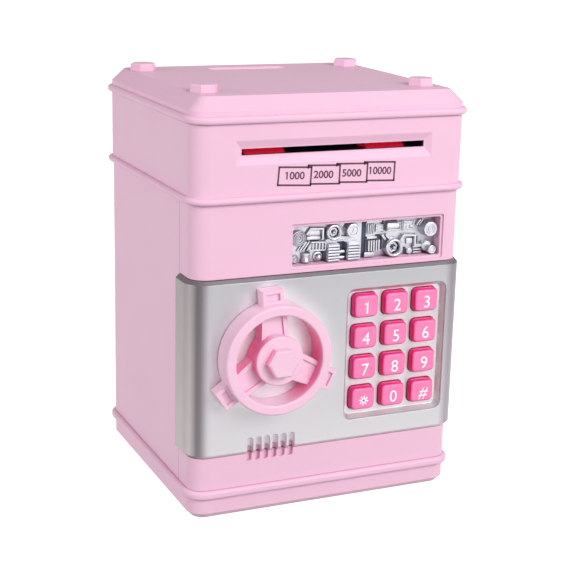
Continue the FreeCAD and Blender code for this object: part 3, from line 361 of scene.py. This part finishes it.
MATERIALS = {
    # painted shade: the casing's colour deepens in tight corners
    "body_pink": moulded_plastic(
        "pink_casing", PINK, rough=(0.38, 0.44), mottle=0.008, subsurface=0.05, deep=PINK_PAINTED_SHADE,
        reach=2.2, edge_round=0.4, specular=0.15, tight=(0.1, 0.5)),
    # painted shade on the rim's inner walls, and a painted glow for light bounced inside the knob
    "knob_pink": moulded_plastic(
        "pink_knob", KNOB, rough=(0.30, 0.38), subsurface=0.12, deep=KNOB_PAINTED_SHADE, reach=14.0,
        edge_round=0.5, hollow=HOLLOW, glow=0.06, tight=(0.4, 1.0)),
    "key_pink": key_plastic("hot_pink_keys"),
    "silver_panel": silver_paint("satin_silver_paint"),
    # painted shade in the relief's corners
    "chrome_relief": metal(
        "vacuum_chrome", (0.54, 0.54, 0.58), rough=(0.30, 0.42), scale=420, metallic=0.85,
        depth=0.00001, deep=(0.20, 0.20, 0.27), reach=1.2, edge_round=0.15),
    "black_plastic": moulded_plastic(
        "black_plastic", (0.012, 0.012, 0.014), rough=(0.45, 0.6), grain=0.00002),
    "grey_plastic": moulded_plastic("grey_nylon", (0.30, 0.30, 0.32), rough=(0.4, 0.55)),
    # painted glow: stands in for light bounced inside the rubber
    "red_rubber": moulded_plastic(
        "red_rubber", (0.80, 0.012, 0.05), rough=(0.5, 0.65), grain=0.00003, glow=0.22),
    "foot_rubber": moulded_plastic(
        "foot_rubber", (0.03, 0.03, 0.03), rough=(0.7, 0.85), grain=0.00003),
    "clear_grey_rubber": moulded_plastic("silicone_mat", (0.55, 0.55, 0.57), rough=(0.5, 0.6)),
    "steel": metal("zinc_plated_steel", (0.60, 0.60, 0.60), rough=(0.25, 0.4), scale=2400),
    "white_plastic": moulded_plastic(
        "white_acetal", (0.78, 0.78, 0.75), rough=(0.4, 0.5), subsurface=0.1),
    "green_board": circuit_board("circuit_board"),
    "cell_wrap": moulded_plastic(
        "cell_wrap", (0.02, 0.025, 0.05), rough=(0.2, 0.3), grain=0.000004),
}
INK = moulded_plastic("maroon_ink", (0.075, 0.018, 0.035), rough=(0.45, 0.6), mottle=0.15)
KEY_WHITE = moulded_plastic("key_legend_white", (0.95, 0.90, 0.93), rough=(0.4, 0.5))
# painted shadow: dark blocks in the relief's gaps
GAP_PAINTED_SHADOW = moulded_plastic("relief_shadow", (0.030, 0.035, 0.065), rough=(0.15, 0.3))


def paint_cad_nodes():
    for part in frame["record"]["subparts"]:
        slots = NODES[part["node"]].data.materials
        slots.clear()
        slots.append(MATERIALS[part["material_slot"]])


# ---- mesh helpers, in millimetres -------------------------------------------------------------
def box_mm(node):
    low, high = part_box(node)
    return low / MM, high / MM


def place_piece(piece, body, replaces=()):
    bpy.context.scene.collection.objects.link(piece)
    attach(piece, body)
    if replaces:
        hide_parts(*replaces)
    return piece


def finish_mesh(name, bm, material, body, replaces=(), sharp=35):
    """Turn a bmesh in millimetres into a piece in metres that rides on a body."""
    bmesh.ops.recalc_face_normals(bm, faces=bm.faces)
    for face in bm.faces:
        face.smooth = True
    for edge in bm.edges:
        edge.smooth = len(edge.link_faces) == 2 and edge.calc_face_angle(0) < math.radians(sharp)
    bmesh.ops.scale(bm, vec=(MM, MM, MM), verts=bm.verts)
    mesh = bpy.data.meshes.new(name)
    bm.to_mesh(mesh)
    bm.free()
    mesh.materials.append(material)
    return place_piece(bpy.data.objects.new(name, mesh), body, replaces)


def add_block(bm, x, z, width, tall, y_front, y_back, bevel=0.2, turn=0.0):
    """Bevelled block centred on (x, z), turned in the x-z plane by some degrees."""
    piece = bmesh.new()
    bmesh.ops.create_cube(piece, size=1.0)
    bmesh.ops.scale(piece, vec=(width, y_back - y_front, tall), verts=piece.verts)
    if bevel:
        bmesh.ops.bevel(piece, geom=piece.edges[:], offset=bevel, segments=2, profile=0.6,
                        affect="EDGES", clamp_overlap=True)
    bmesh.ops.rotate(piece, verts=piece.verts, matrix=Matrix.Rotation(math.radians(turn), 3, "Y"))
    bmesh.ops.translate(piece, vec=(x, (y_front + y_back) / 2, z), verts=piece.verts)
    join_into(bm, piece)


def join_into(bm, piece):
    """Add one bmesh to another."""
    mesh = bpy.data.meshes.new("joined")
    piece.to_mesh(mesh)
    piece.free()
    bm.from_mesh(mesh)
    bpy.data.meshes.remove(mesh)


def bridge(bm, rings):
    """Skin over a stack of closed loops, with both ends capped."""
    for first, second in zip(rings, rings[1:]):
        count = len(first)
        for step in range(count):
            after = (step + 1) % count
            bm.faces.new((first[step], first[after], second[after], second[step]))
    bm.faces.new(rings[0][::-1])
    bm.faces.new(rings[-1])


ROUND_SIDES, BARREL_SIDES, CORNER_STEPS = 40, 24, 6


def add_turned(bm, x, z, profile, sides=ROUND_SIDES, spin=0.0):
    """Turned form about an axis along y. The profile is (radius, y) from back to front."""
    rings = []
    for radius, y in profile:
        angles = [math.radians(spin) + 2 * math.pi * step / sides for step in range(sides)]
        rings.append([bm.verts.new((x + radius * math.cos(a), y, z + radius * math.sin(a)))
                      for a in angles])
    bridge(bm, rings)


def add_barrel(bm, start, end, radius, y_axis, rings=0):
    """Lying round bar between two (x, z) points, with ring grooves along it."""
    begin, finish = Vector((start[0], y_axis, start[1])), Vector((end[0], y_axis, end[1]))
    along = finish - begin
    side = along.cross(Vector((0, 1, 0))).normalized()
    stations = [(0.0, 0.82), (0.06, 1.0)]            # share of the length, share of the radius
    for index in range(rings):
        middle = (index + 0.5) / rings
        shoulder, groove = 0.25 / rings, 0.12 / rings
        stations += [(middle - shoulder, 1.0), (middle - groove, 0.86), (middle + groove, 0.86),
                     (middle + shoulder, 1.0)]
    stations += [(0.94, 1.0), (1.0, 0.82)]
    angles = [2 * math.pi * step / BARREL_SIDES for step in range(BARREL_SIDES)]
    loops = []
    for share, scale in stations:
        centre = begin + along * share
        loops.append([bm.verts.new(centre + side * (radius * scale * math.cos(a))
                                   + Vector((0, -radius * scale * math.sin(a), 0)))
                      for a in angles])
    bridge(bm, loops)


PIPE_SHOULDER = 0.5


def add_pipe(bm, points, width, y_top, y_back):
    """Bent square-shouldered pipe along (x, z) points, mitred at its corners."""
    loops = []
    for index, (x, z) in enumerate(points):
        before = Vector(points[max(index - 1, 0)])
        after = Vector(points[min(index + 1, len(points) - 1)])
        here = Vector((x, z))
        directions = [d.normalized() for d in (here - before, after - here) if d.length > 0]
        middle = sum(directions, Vector((0, 0))).normalized()
        stretch = 1 / max(0.5, middle.dot(directions[0]))
        across = Vector((-middle.y, middle.x)) * (width / 2 * stretch)
        section = ((-1.0, y_back), (-1.0, y_top + PIPE_SHOULDER), (-0.6, y_top), (0.6, y_top),
                   (1.0, y_top + PIPE_SHOULDER), (1.0, y_back))
        loops.append([bm.verts.new((x + across.x * share, y, z + across.y * share))
                      for share, y in section])
    bridge(bm, loops)


def rounded_outline(half_x, half_z, radius):
    """Points round a rectangle with rounded corners."""
    points = []
    for quarter, (sx, sz) in enumerate(((1, 1), (-1, 1), (-1, -1), (1, -1))):
        for step in range(CORNER_STEPS + 1):
            angle = math.radians(90 * quarter + 90 * step / CORNER_STEPS)
            points.append((sx * (half_x - radius) + radius * math.cos(angle),
                           sz * (half_z - radius) + radius * math.sin(angle)))
    return points


def text_mesh(words, size, thickness, slant, bold):
    """Mesh of flat characters, centred on the origin, that face -y, in metres."""
    curve = bpy.data.curves.new("lettering", "FONT")
    curve.body = words
    curve.size = size * MM
    curve.align_x = "CENTER"
    curve.align_y = "CENTER"
    curve.extrude = thickness * MM / 2
    curve.shear = slant
    curve.offset = bold * MM
    curve.resolution_u = 6
    holder = bpy.data.objects.new("lettering", curve)
    bpy.context.scene.collection.objects.link(holder)
    bpy.context.view_layer.update()
    graph = bpy.context.evaluated_depsgraph_get()
    mesh = bpy.data.meshes.new_from_object(holder.evaluated_get(graph))
    bpy.data.objects.remove(holder)
    mesh.transform(Matrix.Rotation(math.radians(90), 4, "X"))
    if words.startswith("1"):
        add_flag(mesh, size * MM, thickness * MM)
    return mesh


def add_flag(mesh, size, thickness):
    """Short slanted stroke at the top of a leading figure one, in shares of the letter size."""
    left = min(vertex.co.x for vertex in mesh.vertices)
    top = max(vertex.co.z for vertex in mesh.vertices)
    bm = bmesh.new()
    bm.from_mesh(mesh)
    add_block(bm, left - 0.035 * size, top - 0.095 * size, 0.21 * size, 0.075 * size,
              -thickness / 2, thickness / 2, 0.0, turn=-38)
    bm.to_mesh(mesh)
    bm.free()


def text_piece(name, words, size, centre, material, body, thickness, slant=0.0, turn=0.0,
               stretch=1.0, bold=0.0):
    """Piece of flat lettering at a centre in millimetres, turned by some degrees about y."""
    mesh = text_mesh(words, size, thickness, slant, bold)
    mesh.transform(Matrix.Translation(Vector(centre) * MM)
                   @ Matrix.Rotation(math.radians(turn), 4, "Y")
                   @ Matrix.Diagonal((stretch, 1, 1, 1)))
    mesh.materials.clear()
    mesh.materials.append(material)
    mesh.name = name
    return place_piece(bpy.data.objects.new(name, mesh), body)


# ---- keypad ---------------------------------------------------------------------------------
KEY_PREFIX = "key_"
KEY_FLANGE = 0.9                        # how far the CAD key's hidden flange sticks out
KEY_DISH = 0.12                         # depth of the dish in a key's face
LEGEND_SHIFT = Vector((0.25, 0, -1.0))
LEGEND_SIZE, HASH_SIZE, HASH_SLANT, LEGEND_THICK = 8.1, 7.8, 0.22, 0.24
STAR_LENGTH, STAR_WIDTH, STAR_TURNS = 4.7, 0.62, (8, 53, 98, 143)


def keypad():
    """Twelve rounded keys with a slightly dished face and a white legend."""
    for node in sorted(n for n in NODES if n.startswith(KEY_PREFIX) and n != "key_membrane"):
        low, high = box_mm(node)
        name = node[len(KEY_PREFIX):]
        body = "button_" + name
        bm = bmesh.new()
        key_cap(bm, low, high)
        finish_mesh("keycap_" + name, bm, MATERIALS["key_pink"], body, replaces=[node],
                    sharp=50)
        legend(name, (low + high) / 2 + LEGEND_SHIFT, low.y + KEY_DISH, body)


def legend(name, centre, y, body):
    """White figure or sign on one key."""
    if name == "star":
        bm = bmesh.new()
        for turn in STAR_TURNS:
            add_block(bm, centre.x, centre.z, STAR_LENGTH, STAR_WIDTH, y - 0.14, y + 0.1, 0.05,
                      turn)
        finish_mesh("legend_star", bm, KEY_WHITE, body)
    elif name == "hash":
        text_piece("legend_hash", "#", HASH_SIZE, (centre.x, y, centre.z), KEY_WHITE, body,
                   LEGEND_THICK, slant=HASH_SLANT)
    else:
        text_piece("legend_" + name, name, LEGEND_SIZE, (centre.x, y, centre.z), KEY_WHITE, body,
                   LEGEND_THICK)


def key_cap(bm, low, high):
    """Cap of one key: rounded loops that step in towards a dished face, over a thin flange."""
    centre = (low + high) / 2
    half_x, half_z = (high.x - low.x) / 2 - KEY_FLANGE, (high.z - low.z) / 2 - KEY_FLANGE
    front = low.y
    stations = [                        # inset from the sides, corner radius, y
        (0.0, 2.2, high.y), (0.0, 2.2, front + 1.7), (0.1, 2.15, front + 1.1),
        (0.32, 2.05, front + 0.6), (0.65, 1.9, front + 0.25), (1.1, 1.7, front + 0.06),
        (1.6, 1.5, front), (2.6, 1.2, front + 0.08), (3.8, 0.8, front + KEY_DISH)]
    loops = []
    for inset, radius, y in stations:
        loops.append([bm.verts.new((centre.x + x, y, centre.z + z))
                      for x, z in rounded_outline(half_x - inset, half_z - inset, radius)])
    bridge(bm, loops)
    add_block(bm, centre.x, centre.z, high.x - low.x, high.z - low.z, high.y - 1.5, high.y - 0.7)


# ---- printed amounts under the banknote slot --------------------------------------------------
LABEL_LINE = 0.8
LABELS = (                              # words, right edge at top and at bottom, text centre
    ("1000", (-11.7, 158.65), (-12.1, 150.7), (-19.7, 155.2)),
    ("2000", (2.0, 158.9), (1.8, 150.7), (-5.9, 155.0)),
    ("5000", (15.5, 159.0), (15.3, 150.7), (7.8, 154.95)),
    ("10000", (29.1, 159.0), (28.9, 150.7), (21.7, 155.3)))
LABEL_LEFT = ((-27.0, 159.4), (-27.6, 151.6))
LABEL_CORNERS = ((-13.2, 159.5), (0.5, 159.55), (14.1, 159.65))
LABEL_STEP = 0.6                        # each card's lower edge starts this much higher
LABEL_BEAD = 2.0                        # the bead stands this far proud of the face
AMOUNT_SIZE, AMOUNT_THICK, AMOUNT_BOLD, AMOUNT_TURN = 4.6, 0.06, 0.10, 2.5
AMOUNT_STRETCH = {"10000": 1.0}         # the four-figure amounts are a little wider
AMOUNT_STRETCH_USUAL = 1.04


def amount_labels():
    """Four amounts in a row of boxes drawn as overlapping cards, each behind the one before."""
    low, _ = box_mm("head_housing")
    face_y = low.y + LABEL_BEAD
    tops = [LABEL_LEFT[0], *LABEL_CORNERS]
    bottoms = [LABEL_LEFT[1], *((label[2][0], label[2][1] + LABEL_STEP) for label in LABELS[:-1])]
    for index, (words, top_right, bottom_right, text_at) in enumerate(LABELS):
        bm = bmesh.new()
        strokes = [(tops[index], top_right), (top_right, bottom_right),
                   (bottom_right, bottoms[index])]
        if index:
            strokes.append((tops[index], (tops[index][0] - 0.05, LABELS[index - 1][1][1] - 0.2)))
        else:
            strokes.append(LABEL_LEFT)
        for start, end in strokes:
            add_stroke(bm, start, end, face_y)
        finish_mesh("amount_box_" + words, bm, INK, "safe")
        text_piece("amount_" + words, words, AMOUNT_SIZE, (text_at[0], face_y - 0.02, text_at[1]),
                   INK, "safe", AMOUNT_THICK, turn=AMOUNT_TURN,
                   stretch=AMOUNT_STRETCH.get(words, AMOUNT_STRETCH_USUAL), bold=AMOUNT_BOLD)


def add_stroke(bm, start, end, face_y):
    """Printed line between two (x, z) points, a hair proud of the face."""
    run = Vector(end) - Vector(start)
    middle = (Vector(start) + Vector(end)) / 2
    turn = -math.degrees(math.atan2(run.y, run.x))
    add_block(bm, middle.x, middle.y, run.length + LABEL_LINE * 0.9, LABEL_LINE, face_y - 0.05,
              face_y + 0.05, 0.0, turn)


# ---- machinery relief behind the window -------------------------------------------------------
RELIEF_DEPTH = 1.0                      # the plate's own thickness, behind the fittings
RELIEF_GAPS = (                         # painted shadow: dark blocks in the gaps between the fittings: x from, to, z from, to
    (-1.9, 0.1, 124.0, 129.4), (17.3, 19.5, 114.6, 131.8), (5.1, 8.7, 114.6, 122.8),
    (26.9, 28.4, 125.6, 131.8), (39.0, 40.1, 114.6, 117.8), (-3.2, -1.4, 114.6, 119.2),
    (43.6, 46.4, 119.4, 122.6), (24.2, 27.8, 117.6, 124.8), (-19.0, -18.0, 114.6, 124.0))


def machinery():
    """Silver relief of make-believe ports, pipes and ribbed blocks, with painted shadow as dark
    blocks in the gaps between them.
    """
    low, high = box_mm("machinery_plate")
    plate = high.y - RELIEF_DEPTH
    relief, gaps = bmesh.new(), bmesh.new()
    middle_x, middle_z = (low.x + high.x) / 2, (low.z + high.z) / 2
    width, tall = high.x - low.x, high.z - low.z
    add_block(relief, middle_x, middle_z, width, tall, plate, high.y, 0.05)
    left_machinery(relief, plate)
    middle_machinery(relief, plate)
    right_machinery(relief, plate)
    for x0, x1, z0, z1 in RELIEF_GAPS:
        add_block(gaps, (x0 + x1) / 2, (z0 + z1) / 2, x1 - x0, z1 - z0, plate - 0.12, plate + 0.3,
                  0.05)
    finish_mesh("machinery_relief", relief, MATERIALS["chrome_relief"], "safe",
                replaces=["machinery_plate"])
    finish_mesh("machinery_gap_shadows", gaps, GAP_PAINTED_SHADOW, "safe")


def ringed_disc(bm, x, z, radius, plate, height, rings):
    """Flat disc with raised concentric rings."""
    front = plate - height
    groove = front + 0.55
    profile = [(radius, plate + 0.3), (radius, front + 0.4), (radius - 0.3, front)]
    step = (radius - 0.5) / rings
    for index in range(rings):
        outer = radius - 0.4 - index * step
        profile += [(outer, front + 0.02 * index), (outer - 0.35 * step, groove),
                    (outer - 0.6 * step, groove), (outer - 0.85 * step, front + 0.02)]
    profile.append((0.12, front))
    add_turned(bm, x, z, profile)


def port(bm, x, z, radius, core, plate, height):
    """Round port with a thick lip, a deep six-sided well and a small centre stud."""
    front, middle = plate - height, plate - height * 0.5
    add_turned(bm, x, z, [(radius, plate + 0.3), (radius, front + 0.6),
                          (radius - 0.35, front + 0.12), (radius - 0.8, front),
                          (core + 0.25, front + 0.15), (core, front + 0.5),
                          (core, plate - 0.6), (0.1, plate - 0.6)])
    add_turned(bm, x, z, [(core * 0.92, plate - 0.5), (core * 0.9, middle), (core * 0.55, middle),
                          (core * 0.5, plate - 0.7), (0.1, plate - 0.7)], sides=6, spin=15)
    add_turned(bm, x, z, [(0.6, plate - 0.5), (0.55, front + 0.7), (0.3, front + 0.45),
                          (0.05, front + 0.4)], sides=16)


def boss(bm, x, z, radius, plate, height, sides=ROUND_SIDES):
    """Raised round or faceted knob with a bevelled rim and a shallow dish."""
    front = plate - height
    add_turned(bm, x, z, [(radius * 1.04, plate + 0.3), (radius, front + 0.7),
                          (radius * 0.93, front + 0.15), (radius * 0.8, front),
                          (radius * 0.66, front + 0.05), (radius * 0.58, front + 0.4),
                          (0.1, front + 0.35)], sides=sides)


def ribbed_block(bm, x0, x1, z0, z1, plate, height, ribs):
    """Block whose front is a stack of overlapping level ribs."""
    pitch = (z1 - z0) / ribs
    middle, width = (x0 + x1) / 2, x1 - x0
    front = plate - height
    add_block(bm, middle, (z0 + z1) / 2, width, z1 - z0, front + 1.0, plate + 0.3, 0.1)
    for index in range(ribs):
        z = z0 + (index + 0.5) * pitch
        add_block(bm, middle, z, width * 0.96, pitch * 0.70, front, front + 1.4, 0.18)


def upright_ribs(bm, x0, x1, z0, z1, plate, height, ribs):
    """Row of upright ribs that stand on the plate."""
    pitch = (x1 - x0) / ribs
    for index in range(ribs):
        x = x0 + (index + 0.5) * pitch
        add_block(bm, x, (z0 + z1) / 2, pitch * 0.6, z1 - z0, plate - height, plate + 0.3, 0.15)


# The three functions below lay out the fittings. Each stands on the plate, sunk 0.2 mm into it.
SINK = 0.2


def left_machinery(bm, plate):
    """Left third: a ringed disc, a pipe, a port, the finned wedge and small fittings."""
    ringed_disc(bm, -14.7, 126.1, 3.6, plate, 2.4, 3)
    add_pipe(bm, [(-10.6, 127.2), (-8.6, 129.9), (-2.6, 129.5), (-2.6, 124.6)], 1.3, plate - 1.6,
             plate + SINK)
    add_barrel(bm, (-10.6, 125.6), (-3.9, 125.4), 1.3, plate - 0.5)
    port(bm, 2.4, 127.8, 3.8, 2.4, plate, 3.2)
    finned_wedge(bm, plate)
    for shift in (0.0, 1.5):
        add_block(bm, -12.0 + shift, 122.2, 0.8, 5.0, plate - 1.4, plate + SINK, 0.15, turn=38)
    add_barrel(bm, (-10.7, 114.7), (-10.7, 119.2), 2.3, plate - 0.4, rings=1)
    add_turned(bm, -4.7, 116.8, [(2.2, plate + SINK), (2.2, plate - 0.8), (1.6, plate - 1.0),
                                 (1.5, plate - 1.9), (1.0, plate - 2.6), (0.3, plate - 2.85),
                                 (0.05, plate - 2.9)])
    ringed_disc(bm, -16.1, 116.5, 1.9, plate, 1.6, 1)
    add_block(bm, -14.0, 121.0, 0.7, 3.0, plate - 0.9, plate + SINK, 0.15, turn=38)


def finned_wedge(bm, plate):
    """Slanted housing with four upright slots between five fins."""
    front, back = plate - 2.0, plate + SINK
    fin = front - 0.75
    bottom = (-11.0, -0.8, 120.0, 119.7)              # x left, x right, z left, z right
    top = (-8.5, -0.9, 124.2, 123.8)
    loops = []
    for inset, y in ((0.0, back), (0.0, front + 0.3), (0.3, front)):
        corners = ((bottom[0] + inset * 1.4, bottom[2] + inset),
                   (bottom[1] - inset, bottom[3] + inset),
                   (top[1] - inset, top[3] - inset),
                   (top[0] + inset * 0.6, top[2] - inset))
        loops.append([bm.verts.new((x, y, z)) for x, z in corners])
    bridge(bm, loops)
    for index in range(5):
        add_block(bm, -7.9 + index * 1.55, 121.9, 0.65, 2.9, fin, front + 0.3, 0.12, turn=2)
    add_block(bm, -5.2, 123.75, 7.2, 0.6, fin, front + 0.3, 0.12, turn=3)
    add_block(bm, -5.6, 120.2, 8.2, 0.6, fin, front + 0.3, 0.12, turn=2)


def middle_machinery(bm, plate):
    """Middle third: a dished boss, two ribbed blocks joined by bars, ribs and small blocks."""
    boss(bm, 11.3, 128.3, 3.3, plate, 4.2)
    add_block(bm, 11.3, 128.3, 0.5, 2.4, plate - 4.15, plate - 3.6, 0.1, turn=20)
    ribbed_block(bm, -1.1, 4.9, 114.5, 122.5, plate, 4.0, 6)
    ribbed_block(bm, 8.8, 15.2, 114.6, 122.6, plate, 4.0, 6)
    for z in (118.3, 115.6):
        add_barrel(bm, (5.4, z), (8.5, z), 0.85, plate - 0.9)
    add_block(bm, 7.0, 124.6, 6.6, 1.6, plate - 1.2, plate + SINK, 0.2, turn=2)
    upright_ribs(bm, 19.8, 23.6, 125.3, 129.8, plate, 0.9, 4)
    add_block(bm, 26.0, 127.7, 3.9, 3.4, plate - 0.9, plate + SINK, 0.2)
    for z in (127.0, 128.6):
        add_block(bm, 26.0, z, 2.8, 0.5, plate - 1.4, plate - 0.6, 0.1)
    add_block(bm, 23.4, 131.0, 7.6, 1.4, plate - 0.8, plate + SINK, 0.2)
    add_block(bm, 22.0, 123.6, 5.0, 0.9, plate - 1.5, plate + SINK, 0.15)
    upright_ribs(bm, 19.5, 25.9, 117.6, 122.6, plate, 2.5, 5)
    add_block(bm, 21.0, 115.8, 5.2, 2.4, plate - 1.5, plate + SINK, 0.3)


def right_machinery(bm, plate):
    """Right third: a barrel, a port with a pipe, two bosses, ribs and small blocks."""
    add_barrel(bm, (28.9, 128.4), (35.3, 128.4), 2.4, plate - 0.6)
    for z in (126.9, 128.4, 129.9):
        add_block(bm, 32.1, z, 6.6, 0.55, plate - 3.2, plate - 1.8, 0.15)
    upright_ribs(bm, 36.6, 38.9, 125.7, 130.4, plate, 0.8, 3)
    add_block(bm, 41.5, 128.0, 5.6, 4.2, plate - 0.7, plate + SINK, 0.15)
    for x, z, width, tall in ((40.4, 129.2, 2.4, 0.5), (42.6, 127.6, 1.9, 1.1),
                              (40.2, 127.0, 1.0, 1.4), (42.0, 126.5, 2.6, 0.4),
                              (43.5, 129.2, 0.5, 1.4)):
        add_block(bm, x, z, width, tall, plate - 1.15, plate - 0.5, 0.1)
    for shift in (0.0, 2.0):
        add_block(bm, 28.0 + shift, 123.4, 1.1, 3.4, plate - 2.0, plate + SINK, 0.25, turn=-38)
    port(bm, 32.4, 118.8, 4.3, 2.9, plate, 4.6)
    add_pipe(bm, [(36.6, 121.2), (38.3, 123.7), (44.3, 123.2), (44.3, 118.7), (47.6, 118.5)], 1.3,
             plate - 1.9, plate + SINK)
    boss(bm, 50.5, 126.4, 3.7, plate, 5.0, sides=10)
    ringed_disc(bm, 50.5, 126.4, 2.5, plate - 4.4, 0.5, 2)
    for shift in (0.0, 1.3):
        add_block(bm, 45.9 + shift, 129.2, 0.7, 3.2, plate - 1.6, plate + SINK, 0.15, turn=35)
    add_turned(bm, 50.2, 118.0, [(2.6, plate + SINK), (2.6, plate - 1.9), (2.2, plate - 2.4),
                                 (0.1, plate - 2.4)])
    boss(bm, 51.6, 116.7, 2.1, plate, 5.2)
    for z in (115.1, 116.4, 117.7):
        add_block(bm, 45.6, z, 4.3, 0.7, plate - 1.5, plate + SINK, 0.2)
    add_turned(bm, 41.8, 115.9, [(1.6, plate + SINK), (1.6, plate - 1.2), (1.2, plate - 1.5),
                                 (0.1, plate - 1.5)])
    add_block(bm, 41.8, 120.6, 3.2, 2.6, plate - 0.9, plate + SINK, 0.25)


# ---- camera, light, floor --------------------------------------------------------------------
CAMERA_AZIMUTH, CAMERA_ELEVATION, CAMERA_ROLL = -24.29, 15.26, 1.44       # degrees
CAMERA_TARGET = (7.04, 2.0, 86.33)      # millimetres
CAMERA_DISTANCE = 0.67861               # metres
CAMERA_SENSOR, CAMERA_LENS = 36, 86.0675                                  # millimetres
CAMERA_CLIP = 0.01
WORLD_STRENGTH = 0.38
SUBJECT = (0, 0, 0.09)                  # where every light aims
LIGHTS = (                              # name, place, size, watts, whether it shows in reflections
    ("key_light", (0.38, -1.10, 0.70), (0.9, 0.7), 15.6, True),
    ("left_fill", (-1.60, -0.12, 0.60), (0.8, 0.6), 12.0, True),
    ("rear_fill", (0.90, 1.40, 0.45), (0.8, 0.6), 12.0, False))
FLOOR_HALF = 12                         # metres
FLOOR_TONE, FLOOR_DRIFT, FLOOR_GLOW = (0.60, 0.60, 0.60), 0.01, 0.85


def set_camera():
    """Long lens above and to the left of the front, with a slight roll."""
    azimuth, elevation = math.radians(CAMERA_AZIMUTH), math.radians(CAMERA_ELEVATION)
    roll = math.radians(CAMERA_ROLL)
    target = Vector(CAMERA_TARGET) * MM
    level = math.cos(elevation)
    back = Vector((math.sin(azimuth) * level, -math.cos(azimuth) * level, math.sin(elevation)))
    right = (-back).cross(Vector((0, 0, 1))).normalized()
    up = right.cross(-back)
    right_rolled = right * math.cos(roll) + up * math.sin(roll)
    up_rolled = up * math.cos(roll) - right * math.sin(roll)
    data = bpy.data.cameras.new("camera")
    data.sensor_width = CAMERA_SENSOR
    data.lens = CAMERA_LENS
    data.clip_start = CAMERA_CLIP
    camera = bpy.data.objects.new("camera", data)
    rotation = Matrix((right_rolled, up_rolled, back)).transposed()
    camera.matrix_world = Matrix.Translation(target + back * CAMERA_DISTANCE) @ rotation.to_4x4()
    bpy.context.scene.collection.objects.link(camera)
    bpy.context.scene.camera = camera


def area_light(name, place, size, power, reflects):
    """Soft rectangular light aimed at the subject."""
    data = bpy.data.lights.new(name, "AREA")
    data.shape = "RECTANGLE"
    data.size, data.size_y = size
    data.energy = power
    light = bpy.data.objects.new(name, data)
    light.location = place
    light.rotation_euler = (Vector(SUBJECT) - Vector(place)).to_track_quat("-Z", "Y").to_euler()
    light.visible_glossy = reflects
    bpy.context.scene.collection.objects.link(light)


def set_light():
    """Even white surroundings with a key light in front and a fill on the left and behind."""
    world = bpy.data.worlds.new("studio")
    world.use_nodes = True
    background = world.node_tree.nodes["Background"]
    background.inputs["Color"].default_value = (1.0, 1.0, 1.0, 1)
    background.inputs["Strength"].default_value = WORLD_STRENGTH
    bpy.context.scene.world = world
    for name, place, size, power, reflects in LIGHTS:
        area_light(name, place, size, power, reflects)


def add_floor():
    """Plain pale floor that shines white without lighting the toy from below."""
    bm = bmesh.new()
    bmesh.ops.create_grid(bm, x_segments=1, y_segments=1, size=FLOOR_HALF)
    mesh = bpy.data.meshes.new("floor")
    bm.to_mesh(mesh)
    bm.free()
    material, tree, shader, coordinates = new_material("pale_floor")
    drift = noise(tree, coordinates.outputs["Object"], 3)
    tone = two_tone(tree, drift, FLOOR_TONE, FLOOR_DRIFT)
    tree.links.new(tone, shader.inputs["Base Color"])
    shader.inputs["Roughness"].default_value = 0.9
    shader.inputs["Specular IOR Level"].default_value = 0.0
    shader.inputs["Emission Color"].default_value = (1, 1, 1, 1)
    shader.inputs["Emission Strength"].default_value = FLOOR_GLOW
    mesh.materials.append(material)
    floor = bpy.data.objects.new("floor", mesh)
    floor.visible_diffuse = False
    bpy.context.scene.collection.objects.link(floor)


def main():
    paint_cad_nodes()
    keypad()
    amount_labels()
    machinery()
    set_camera()
    set_light()
    add_floor()
    bpy.context.scene.view_settings.view_transform = "Standard"


main()
